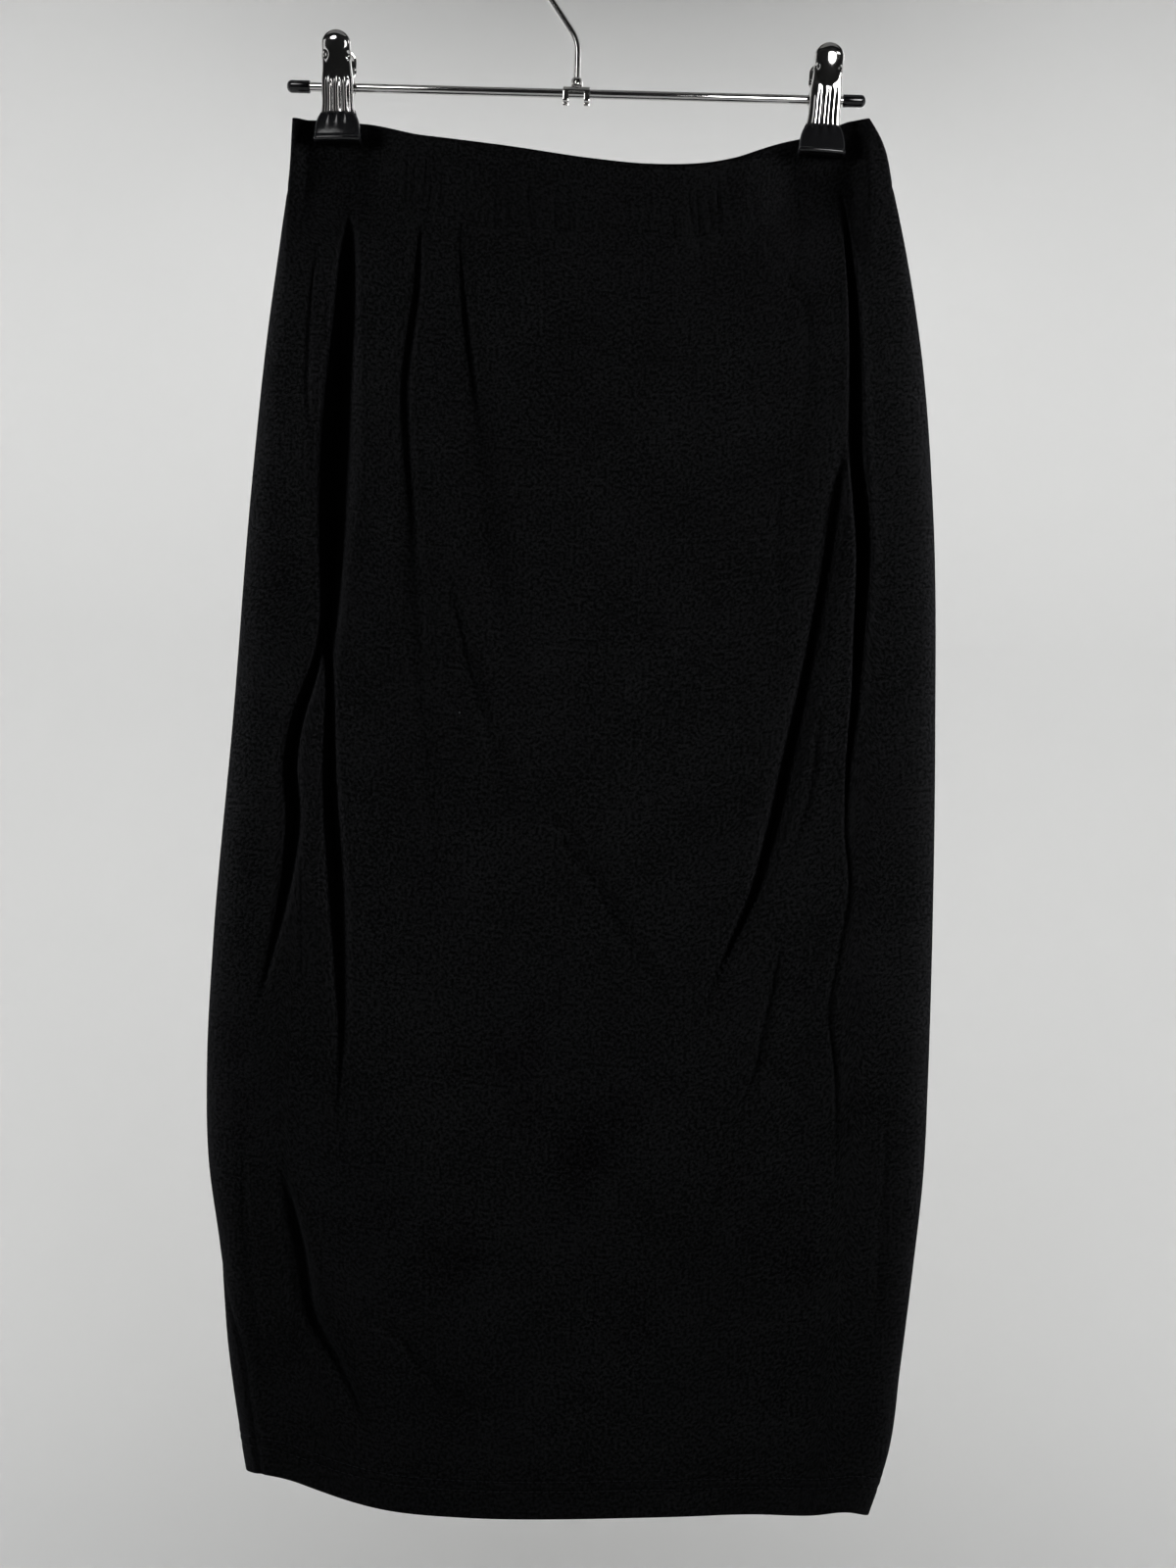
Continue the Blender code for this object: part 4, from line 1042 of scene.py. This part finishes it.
# %% Turn the bar and its two end caps
BAR_ROUNDING = 0.0004
CAP_RADIUS = 0.0032
CAP_LENGTH = 0.0120
CAP_END = 0.0012
CAP_ROUNDING = 0.0027
CAP_LIP = 0.0003
BAR_BORE = BAR_RADIUS + GAP
FINE_SIDES = 48

near_end = rounded_end(0, BAR_RADIUS, BAR_ROUNDING)
far_end = [(2 * BAR_HALF - step, radius) for step, radius in reversed(near_end)]
turned("bar", [(0, 0), *near_end, *far_end, (2 * BAR_HALF, 0)], FINE_SIDES, chrome,
       (-BAR_HALF, 0, BAR_Z), (1, 0, 0), ["hanger_bar"])
cap_tip = BAR_HALF + GAP + CAP_END
cap_lip = [(CAP_LENGTH - step, radius) for step, radius in reversed(rounded_end(0, CAP_RADIUS, CAP_LIP, 3))]
cap_section = [(0, 0), *rounded_end(0, CAP_RADIUS, CAP_ROUNDING), *cap_lip, (CAP_LENGTH, BAR_BORE),
               (CAP_END, BAR_BORE), (CAP_END, 0)]
for side, sign in SIDES.items():
    turned(f"end_cap_{side}", cap_section, FINE_SIDES, vinyl, (sign * cap_tip, 0, BAR_Z),
           (-sign, 0, 0), [f"bar_cap_{side}"])

# %% [markdown]
# The hook is one wire. Its line goes up the stem, bends left, runs straight up the slant,
# and then turns clockwise in one round bend, at whose end the wire is cut off square.

# %% Bend the hook
HOOK_WIRE = 0.0018
HOOK_BEND = 0.0210
HOOK_CENTRE_UP = 0.0645
STEM_TOP = 0.0275
STEM_BEND = 0.0068
HOOK_END_ANGLE = math.radians(-38)
HOOK_STEPS = 96
BEND_STEPS = 14
SADDLE_WALL = 0.0009

hook_foot = BAR_BORE + SADDLE_WALL + GAP
lean = math.asin(HOOK_BEND / (HOOK_CENTRE_UP - STEM_TOP))
slant = Vector((-math.sin(lean), 0, math.cos(lean)))
straight = math.sqrt((HOOK_CENTRE_UP - STEM_TOP) ** 2 - HOOK_BEND**2)
hook_line = [Vector((0, 0, hook_foot)), Vector((0, 0, STEM_TOP - STEM_BEND))]
for k in range(1, BEND_STEPS + 1):
    t = k / BEND_STEPS
    below_bend = Vector((0, 0, STEM_TOP - STEM_BEND * (1 - t) ** 2))
    hook_line.append(below_bend + slant * STEM_BEND * t**2)
hook_line.append(Vector((0, 0, STEM_TOP)) + slant * (straight + STEM_BEND) / 2)
hook_start = math.pi + lean
for k in range(HOOK_STEPS + 1):
    turn = hook_start + (HOOK_END_ANGLE - hook_start) * k / HOOK_STEPS
    hook_line.append(Vector((HOOK_BEND * math.cos(turn), 0, HOOK_CENTRE_UP + HOOK_BEND * math.sin(turn))))
hook_placed = [point + Vector((0, 0, BAR_Z)) for point in hook_line]
wire("hook_wire", hook_placed, HOOK_WIRE, 7, chrome, ["hook"])

# %% [markdown]
# The collar is spun, with a rounded shoulder. Its bore leaves the wire free, as in the solids.

# %% Turn the collar
COLLAR_RADIUS = 0.0031
COLLAR_TOP_RADIUS = 0.0025
COLLAR_HEIGHT = 0.0040
COLLAR_STRAIGHT = 0.0012
COLLAR_SHOULDER = 8
COLLAR_FOOT_ROUNDING = 0.0003
COLLAR_LIP = 0.0002

bore = HOOK_WIRE + GAP
collar_section = [(0, bore), *rounded_end(0, COLLAR_RADIUS, COLLAR_FOOT_ROUNDING, 4)]
for k in range(COLLAR_SHOULDER + 1):
    t = k / COLLAR_SHOULDER
    up = COLLAR_STRAIGHT + (COLLAR_HEIGHT - COLLAR_LIP - COLLAR_STRAIGHT) * t
    collar_section.append((up, COLLAR_RADIUS - (COLLAR_RADIUS - COLLAR_TOP_RADIUS) * t * t))
collar_section += [(COLLAR_HEIGHT, COLLAR_TOP_RADIUS - COLLAR_LIP), (COLLAR_HEIGHT, bore)]
turned("collar", collar_section, FINE_SIDES, chrome, (0, 0, BAR_Z + hook_foot), (0, 0, 1),
       ["hook_collar"])

# %% [markdown]
# The saddle is a strip folded over the bar. A grid follows the fold, the faces between its feet are left out,
# extruding the strip along its normals makes the sheet, and a bevel softens the pressed edges.

# %% Fold the saddle over the bar
SADDLE_HALF = 0.0070
SADDLE_FOOT = 0.0030
SADDLE_LEG = 0.0050
SADDLE_COLUMNS = 15
SADDLE_ARC = 24
SADDLE_EDGE = 0.00018
LEG_ROWS = 4

fold_line = []
for k in range(LEG_ROWS):
    fold_line.append((-1.0, 0.0, -SADDLE_LEG * (1 - k / LEG_ROWS)))
for k in range(SADDLE_ARC + 1):
    turn = math.pi * (k / SADDLE_ARC - 0.5)
    fold_line.append((math.sin(turn), math.cos(turn), 0.0))
for k in range(1, LEG_ROWS + 1):
    fold_line.append((1.0, 0.0, -SADDLE_LEG * k / LEG_ROWS))

across = np.linspace(-SADDLE_HALF, SADDLE_HALF, SADDLE_COLUMNS)
outer_skin, inner_skin = (
    [Vector((x, radius * out, BAR_Z + radius * up + down)) for out, up, down in fold_line for x in across]
    for radius in (BAR_BORE + SADDLE_WALL, BAR_BORE))
strip, skin_number = shaped_grid(outer_skin, len(fold_line))
window = []
for leaf in strip.faces:
    centre = leaf.calc_center_median()
    if abs(centre.x) < SADDLE_HALF - SADDLE_FOOT and centre.z < BAR_Z:
        window.append(leaf)
bmesh.ops.delete(strip, geom=window, context="FACES")
grow_wall(strip, skin_number, inner_skin)
pressed = [e for e in strip.edges if len(e.link_faces) == 2 and e.calc_face_angle() > math.radians(60)]
bmesh.ops.bevel(strip, geom=pressed, offset=SADDLE_EDGE, segments=2, profile=0.5, material=-1, affect="EDGES")
piece_from("saddle", strip, chrome, ["hook_saddle"], smooth_below=50)

# %% [markdown]
# A clip is two pressed arms on the bar, held apart at the top by a spring and pressing at their jaws.
# Each arm is a sheet whose face is crowned at the finger end, pinched in at two dimples,
# fluted from the bar down to the jaw, and bent back at the sides into flanges and ears.
# Its stations give the form; four extra terms add the crown, the dome, the dimples and the flutes.

# %% The arm's stations and its pressed relief
Station = namedtuple("Station", "up half stand flange")
ARM = (
    Station(0.0250, 0.0004, 0.0124, 0.0010),
    Station(0.0248, 0.0019, 0.0125, 0.0013),
    Station(0.0242, 0.0034, 0.0127, 0.0016),
    Station(0.0232, 0.0049, 0.0129, 0.0018),
    Station(0.0216, 0.0063, 0.0130, 0.0021),
    Station(0.0198, 0.0072, 0.0129, 0.0022),
    Station(0.0176, 0.0075, 0.0125, 0.0023),
    Station(0.0150, 0.0075, 0.0120, 0.0024),
    Station(0.0090, 0.0075, 0.0104, 0.0028),
    Station(0.0055, 0.0077, 0.0094, 0.0068),
    Station(0.0030, 0.0080, 0.0087, 0.0112),
    Station(0.0000, 0.0082, 0.0081, 0.0118),
    Station(-0.0030, 0.0082, 0.0076, 0.0098),
    Station(-0.0060, 0.0082, 0.0071, 0.0052),
    Station(-0.0110, 0.0083, 0.0063, 0.0022),
    Station(-0.0150, 0.0088, 0.0057, 0.0016),
    Station(-0.0190, 0.0100, 0.0056, 0.0014),
    Station(-0.0290, 0.0106, 0.0056, 0.0014),
)
CLIP_SHEET = 0.0007
CROWN = 0.0004
DOME = 0.0013
DOME_UP = 0.0176
DOME_ABOVE = 0.0074
DOME_BELOW = 0.0140
DIMPLE_UP = 0.0124
DIMPLE_SHARE = 0.86
DIMPLE_REACH = 0.0017
DIMPLE_DEPTH = 0.0009
FLUTES = 3
FLUTE_CROWDING = 1.25
FLUTE_SHARPNESS = 1.5
FLUTES_WITHIN = 0.86
FLUTES_EDGE = 0.1
FLUTE_HEIGHT = 0.00085
FLUTE_TOP = 0.0062
FLUTE_END = -0.0240
FLUTE_FADE = 0.0045
EAR_STEP = 0.0014
EAR_STEP_REACH = 0.0120
EAR_STEP_EASE = 0.0040


def arm_value(column, up):
    """One column of the arm's stations, read at a height above the bar."""
    return read_table(ARM[::-1], column, up)


def flute(share, up, height=FLUTE_HEIGHT):
    """The height of the three long ribs that run from the bar down to the jaw."""
    shown = ease((FLUTE_TOP - up) / (2 * FLUTE_FADE)) * ease((up - FLUTE_END) / (2 * FLUTE_FADE))
    ribs = np.abs(np.cos(math.pi * FLUTES / 2 * share * FLUTE_CROWDING)) ** FLUTE_SHARPNESS
    return height * shown * ribs * ease((FLUTES_WITHIN - np.abs(share)) / FLUTES_EDGE)


def pressed_relief(share, half, up):
    """What the press adds to an arm's face at a share across it: crown, dome, dimples and flutes."""
    reach = np.hypot(share, (up - DOME_UP) / (DOME_ABOVE if up > DOME_UP else DOME_BELOW))
    relief = CROWN * (1 - share**2) + DOME * np.clip(1 - reach**2, 0, 1)
    for side in (-1, 1):
        away = np.hypot((share - DIMPLE_SHARE * side) * half, up - DIMPLE_UP) / DIMPLE_REACH
        relief = relief - DIMPLE_DEPTH * np.exp(-(away**2))
    return relief + flute(share, up)


# %% Press one arm
ARM_ROWS = 90
FACE_COLUMNS = 45
FLANGE_COLUMNS = 6
ARM_CORNER = 0.0008
ARM_SHARP = 45
ROW_CROWDING = 1.5


def press_arm(clip, face):
    """Lays an arm's grid over its face and flanges and gives it the thickness of the sheet."""
    sign = -1 if face == "front" else 1
    across = FACE_COLUMNS + 2 * FLANGE_COLUMNS
    shape = bmesh.new()
    bmesh.ops.create_grid(shape, x_segments=across - 1, y_segments=ARM_ROWS - 1, size=0.5)
    shape.verts.ensure_lookup_table()
    top, bottom = ARM[0].up, ARM[-1].up
    for j in range(ARM_ROWS):
        t = j / (ARM_ROWS - 1)
        up = top + (bottom - top) * t ** ROW_CROWDING
        near_pivot = float(ease((EAR_STEP_REACH - abs(up)) / EAR_STEP_EASE))
        half = float(arm_value("half", up)) - EAR_STEP * near_pivot * (face == "back")
        stand, flange = float(arm_value("stand", up)), float(arm_value("flange", up))
        for i in range(across):
            beyond = max(FLANGE_COLUMNS - i, i - (across - 1 - FLANGE_COLUMNS), 0)
            if i < FLANGE_COLUMNS or i >= across - FLANGE_COLUMNS:
                x = math.copysign(half, i - FLANGE_COLUMNS)
                y = stand - ARM_CORNER - (flange - ARM_CORNER) * beyond / FLANGE_COLUMNS
            else:
                share = (i - FLANGE_COLUMNS) / (FACE_COLUMNS - 1) * 2 - 1
                x = share * half
                in_corner = max(abs(x) - (half - ARM_CORNER), 0) / ARM_CORNER
                rounding = ARM_CORNER * (1 - math.sqrt(max(1 - in_corner**2, 0)))
                y = stand + float(pressed_relief(np.float64(share), half, up)) - rounding
            shape.verts[j * across + i].co = (x, sign * y, up)
    shape.faces.ensure_lookup_table()
    middle = shape.faces[len(shape.faces) // 2]
    middle.normal_update()
    if middle.normal.y * sign < 0:
        bmesh.ops.reverse_faces(shape, faces=shape.faces[:])
    arm = piece_from(f"arm_{clip}_{face}", shape, chrome, [f"clip_{clip}_arm_{face}"], ARM_SHARP)
    thicken = arm.modifiers.new("sheet", "SOLIDIFY")
    thicken.thickness = CLIP_SHEET
    thicken.offset = -1
    return arm


# %% [markdown]
# A modifier can be made permanent without any operator: the evaluated mesh is copied back into the object.
# Doing that here lets the drills and pocket boxes be removed, so no hidden helper stays in the file.

# %% Drill, apply and put in place
DRILL_HALF = 0.03


def settle(thing, cutter, place):
    """Cuts with a cutter, makes the modifiers permanent, moves the mesh to its place and drops the cutter."""
    boolean = thing.modifiers.new("cut", "BOOLEAN")
    boolean.operation = "DIFFERENCE"
    boolean.object = cutter
    cutter.hide_render = True
    shown = thing.evaluated_get(bpy.context.evaluated_depsgraph_get())
    mesh = bpy.data.meshes.new_from_object(shown)
    thing.modifiers.clear()
    thing.data = mesh
    mesh.transform(place)
    mesh.shade_smooth()
    mesh.set_sharp_from_angle(angle=math.radians(ARM_SHARP))
    bpy.data.objects.remove(cutter)


def drill_along_x(radius, half):
    """A cylinder along X for the bar's hole."""
    shape = bmesh.new()
    lying = Matrix.Rotation(math.pi / 2, 4, "Y")
    bmesh.ops.create_cone(shape, cap_ends=True, segments=FINE_SIDES, radius1=radius, radius2=radius,
                          depth=2 * half, matrix=lying)
    return object_from("drill", shape)


# %% [markdown]
# The vinyl cap on each jaw is a loft: one rounded outline, carried down through a table of rings.
# It is thin where it hugs the arm, so the arm's flutes still show through it, spreads in a smooth curve,
# and ends in a rounded bead along its lip.

# %% The jaw's rings
JawRing = namedtuple("JawRing", "up half stand")
JAW = (
    JawRing(-0.01490, 0.0086, 0.0058),
    JawRing(-0.01500, 0.0090, 0.0064),
    JawRing(-0.01540, 0.0094, 0.0067),
    JawRing(-0.01660, 0.0098, 0.0070),
    JawRing(-0.01800, 0.0104, 0.0073),
    JawRing(-0.01950, 0.0109, 0.0076),
    JawRing(-0.02100, 0.0113, 0.0079),
    JawRing(-0.02250, 0.0116, 0.0082),
    JawRing(-0.02400, 0.0118, 0.0085),
    JawRing(-0.02550, 0.0119, 0.0087),
    JawRing(-0.02700, 0.0120, 0.0089),
    JawRing(-0.02790, 0.0121, 0.0090),
    JawRing(-0.02840, 0.0122, 0.0092),
    JawRing(-0.02890, 0.0123, 0.0094),
    JawRing(-0.02940, 0.0124, 0.0095),
    JawRing(-0.02990, 0.0123, 0.0093),
    JawRing(-0.03040, 0.0122, 0.0088),
    JawRing(-0.03080, 0.0119, 0.0079),
    JawRing(-0.03100, 0.0114, 0.0068),
)
JAW_FACE = PINCHED + GAP
JAW_CORNER = 0.0019
JAW_CHAMFER = 0.0004
CORNER_STEPS = 7
FACE_STEPS = 40
JAW_FLUTE = 0.0007
JAW_CROWN = 0.0005
POCKET = (ARM[-1].half + GAP, ARM[-1].stand + CROWN + GAP, ARM[-1].stand - ARM[-1].flange - GAP)


def jaw_outline(ring):
    """The outline of one ring: a flat gripping face, two sides, and a fluted front with rounded corners."""
    half, out = ring.half, ring.stand
    chamfered = half - JAW_CHAMFER
    points = [(-chamfered, JAW_FACE), (chamfered, JAW_FACE), (half, JAW_FACE + JAW_CHAMFER)]
    corner = min(JAW_CORNER, (out - JAW_FACE) / 2)
    for k in range(CORNER_STEPS + 1):
        turn = math.pi / 2 * k / CORNER_STEPS
        points.append((half - corner + corner * math.cos(turn), out - corner + corner * math.sin(turn)))
    for k in range(1, FACE_STEPS):
        share = 1 - 2 * k / FACE_STEPS
        y = out + JAW_CROWN * (1 - share**2) + float(flute(share, ring.up, JAW_FLUTE))
        points.append(((half - corner) * share, y))
    for k in range(CORNER_STEPS + 1):
        turn = math.pi / 2 * (1 + k / CORNER_STEPS)
        points.append((-half + corner + corner * math.cos(turn), out - corner + corner * math.sin(turn)))
    points.append((-half, JAW_FACE + JAW_CHAMFER))
    return points


def dip_jaw(clip, face):
    """Lofts one vinyl cap through its rings."""
    sign = -1 if face == "front" else 1
    shape = bmesh.new()
    rings = [[shape.verts.new((x, sign * y, ring.up)) for x, y in jaw_outline(ring)] for ring in JAW]
    for upper, lower in zip(rings, rings[1:]):
        pairs = [pair for loop in (upper, lower) for pair in zip(loop, loop[1:] + loop[:1])]
        edges = [shape.edges.get(pair) or shape.edges.new(pair) for pair in pairs]
        bmesh.ops.bridge_loops(shape, edges=edges)
    shape.faces.new(rings[0])
    shape.faces.new(rings[-1])
    bmesh.ops.recalc_face_normals(shape, faces=shape.faces[:])
    return piece_from(f"jaw_{clip}_{face}", shape, vinyl, [f"clip_{clip}_jaw_{face}"])


def pocket_box(face):
    """The box that leaves room for the arm's plate inside the vinyl."""
    sign = -1 if face == "front" else 1
    half, far, near = POCKET
    low, high = sorted((sign * near, sign * far))
    shape = bmesh.new()
    bmesh.ops.create_cube(shape, size=1.0)
    size = (2 * half, high - low, -(ARM[-1].up - GAP))
    middle = (0, (low + high) / 2, (ARM[-1].up - GAP) / 2)
    box = Matrix.Translation(middle) @ Matrix.Diagonal((*size, 1))
    bmesh.ops.transform(shape, matrix=box, verts=shape.verts[:])
    return object_from("pocket", shape)


# %% [markdown]
# The spring is a torsion coil round the bar, its two legs pushing the arms' finger ends apart.

# %% Wind the spring
SPRING_WIRE = 0.0005
SPRING_TURNS = 5
SPRING_SIDES = 28
SPRING_HALF = 0.0040
SPRING_LEG_UP = 0.0165
SPRING_LEG_OUT = 0.0107
EAR_BORE = BAR_RADIUS + 0.0007


def wind_spring():
    """The spring's line: a leg behind the front arm, turns round the bar, a leg before the back arm."""
    radius = EAR_BORE + SPRING_WIRE + GAP
    steps = SPRING_SIDES * SPRING_TURNS + SPRING_SIDES // 2
    points = [Vector((-SPRING_HALF, -SPRING_LEG_OUT, SPRING_LEG_UP))]
    for k in range(steps + 1):
        angle = math.pi + 2 * math.pi * k / SPRING_SIDES
        x = -SPRING_HALF + 2 * SPRING_HALF * k / steps
        points.append(Vector((x, radius * math.cos(angle), radius * math.sin(angle))))
    points.append(Vector((SPRING_HALF, SPRING_LEG_OUT, SPRING_LEG_UP)))
    return points


# %% [markdown]
# Everything on a clip is made about its own pivot, then leaned and moved to its place along the bar.

# %% Assemble the two clips
for clip in CLIP_X:
    place = Matrix.Translation((CLIP_X[clip], 0, BAR_Z)) @ Matrix.Rotation(CLIP_LEAN[clip], 4, "Y")
    for face in ("front", "back"):
        settle(press_arm(clip, face), drill_along_x(EAR_BORE, DRILL_HALF), place)
        settle(dip_jaw(clip, face), pocket_box(face), place)
    wire(f"spring_{clip}", [place @ point for point in wind_spring()], SPRING_WIRE, 3, spring_steel,
         [f"clip_{clip}_spring"])

# %% [markdown]
# The studio is a pale room: a floor that sweeps up into a round wall and over into a ceiling,
# so no view meets an edge. It is staging and isn't part of the object.
# One section, spun once round, makes it.

# %% A plain pale studio
STUDIO_FLOOR = -1.35
FLOOR_REACH = 1.7
SWEEP = 1.2
SWEEP_STEPS = 12
WALL_TOP = 4.5
PAPER = (0.60, 0.60, 0.595)

STUDIO_SIDES = 96
STUDIO_HOLE = 0.02

turns = [math.pi / 2 * k / SWEEP_STEPS for k in range(SWEEP_STEPS + 1)]
section = [(0.0, STUDIO_HOLE)]
section += [(SWEEP * (1 - math.cos(turn)), FLOOR_REACH + SWEEP * math.sin(turn)) for turn in turns]
section += [(WALL_TOP + SWEEP * math.sin(turn), FLOOR_REACH + SWEEP * math.cos(turn)) for turn in turns]
section.append((WALL_TOP + SWEEP, STUDIO_HOLE))
bowl = spun([(STUDIO_FLOOR + up, radius) for up, radius in section], STUDIO_SIDES, closed=False)
bmesh.ops.holes_fill(bowl, edges=[e for e in bowl.edges if e.is_boundary], sides=0)
bmesh.ops.recalc_face_normals(bowl, faces=bowl.faces[:])
bmesh.ops.reverse_faces(bowl, faces=bowl.faces[:])
paper = principled("pale_paper", PAPER, 0.95)[0]
object_from("studio", bowl, paper)

# %% [markdown]
# Black cloth and bright chrome both need something dark to face, or the cloth greys and the chrome turns
# white. A photographer hangs black flags for this. Here one curved flag stands in front, seen by reflections
# and bounced light and by no camera, and it casts no shadow.

# %% Hang the flag
FLAG_RADIUS = 1.9
FLAG_TURN = math.radians(150)
FLAG_HEIGHTS = (-1.2, 2.7)
flag_shape = bmesh.new()
flag_x, flag_y = -FLAG_RADIUS * math.sin(FLAG_TURN / 2), -FLAG_RADIUS * math.cos(FLAG_TURN / 2)
first = [flag_shape.verts.new((flag_x, flag_y, up)) for up in FLAG_HEIGHTS]
flag_edge = flag_shape.edges.new(first)
bmesh.ops.spin(flag_shape, geom=first + [flag_edge], axis=(0, 0, 1), cent=(0, 0, 0),
               angle=FLAG_TURN, steps=40)
flag_cloth = principled("flag_cloth", (0.004, 0.004, 0.004), 0.9)[0]
flag = object_from("flag", flag_shape, flag_cloth)
flag.visible_camera = False
flag.visible_shadow = False

# %% [markdown]
# Four lights stand far out to the left and right of the skirt, so they rake across the folds of both faces.
# Five panels only show in gloss and give the chrome its glints. Two of them are narrow beams: one reaches
# the left clip's rounded top alone, and one the right clip's flutes, as good as white in the photograph.
# A ring of lights washes the paper. No light shows in a view.

# %% Place the lights


def soft_light(name, place, aim, size, watts, colour=(1.0, 1.0, 1.0), spread=180, glossy=True, diffuse=True):
    """An area light turned towards a point; it may leave out gloss or leave out matt surfaces."""
    data = bpy.data.lights.new(name, "AREA")
    data.shape = "RECTANGLE"
    data.size, data.size_y = size
    data.energy = watts
    data.color = colour
    data.spread = math.radians(spread)
    made = bpy.data.objects.new(name, data)
    aimed = (Vector(aim) - Vector(place)).to_track_quat("-Z", "Y").to_matrix().to_4x4()
    made.matrix_world = Matrix.Translation(place) @ aimed
    made.visible_camera = False
    made.visible_glossy = glossy
    made.visible_diffuse = diffuse
    bpy.context.scene.collection.objects.link(made)


MIDDLE = (0.0, 0.0, -0.42)
CLIPS = (0.0, 0.0, -0.08)
LEFT_CLIP = (CLIP_X["left"], 0.0, BAR_Z + 0.010)
RIGHT_CLIP = (CLIP_X["right"], 0.0, BAR_Z - 0.004)
WALL_LIGHT_REACH = 1.25
WALL_LIGHT_Z = 1.5
WALL_AIM = 2.85
WALL_AIM_Z = -0.35
WALL_LIGHTS = 8
WALL_WATTS = 17.0
COOL = (0.95, 0.97, 1.0)
KEYS = (("left_front", -1.52, -0.40, 5.6), ("right_front", 1.52, -0.38, 7.3),
        ("left_back", -1.52, 0.40, 7.3), ("right_back", 1.52, 0.40, 6.6))
for name, x, y, watts in KEYS:
    soft_light(name, (x, y, 0.05), MIDDLE, (0.42, 0.42), watts, COOL, spread=62, glossy=False)
soft_light("dome_light", (-0.27, -0.48, 0.16), LEFT_CLIP, (0.20, 0.24), 0.03, spread=26, diffuse=False)
soft_light("glint_right", (1.00, -1.20, 0.36), CLIPS, (0.26, 0.34), 1.0, diffuse=False)
soft_light("streak_left", (-1.25, -1.05, -0.05), CLIPS, (0.22, 1.20), 0.5, diffuse=False)
soft_light("flute_light", (0.27, -0.56, -0.05), RIGHT_CLIP, (0.27, 0.34), 0.14, spread=30, diffuse=False)
soft_light("glint_back", (0.60, 1.30, 0.30), CLIPS, (0.60, 0.80), 5.0, diffuse=False)
for k in range(WALL_LIGHTS):
    turn = 2 * math.pi * (k + 0.5) / WALL_LIGHTS
    out = Vector((math.cos(turn), math.sin(turn), 0.0))
    place = out * WALL_LIGHT_REACH + Vector((0, 0, WALL_LIGHT_Z))
    soft_light(f"wall_{k}", place, out * WALL_AIM + Vector((0, 0, WALL_AIM_Z)), (0.8, 0.8), WALL_WATTS,
               spread=120, glossy=False)

print("lights:", len(bpy.data.lights))

world = bpy.data.worlds.new("studio_light")
world.use_nodes = True
world.node_tree.nodes["Background"].inputs["Color"].default_value = (0.95, 0.97, 1.0, 1.0)
world.node_tree.nodes["Background"].inputs["Strength"].default_value = 0.05
bpy.context.scene.world = world
bpy.context.scene.view_settings.view_transform = "Standard"
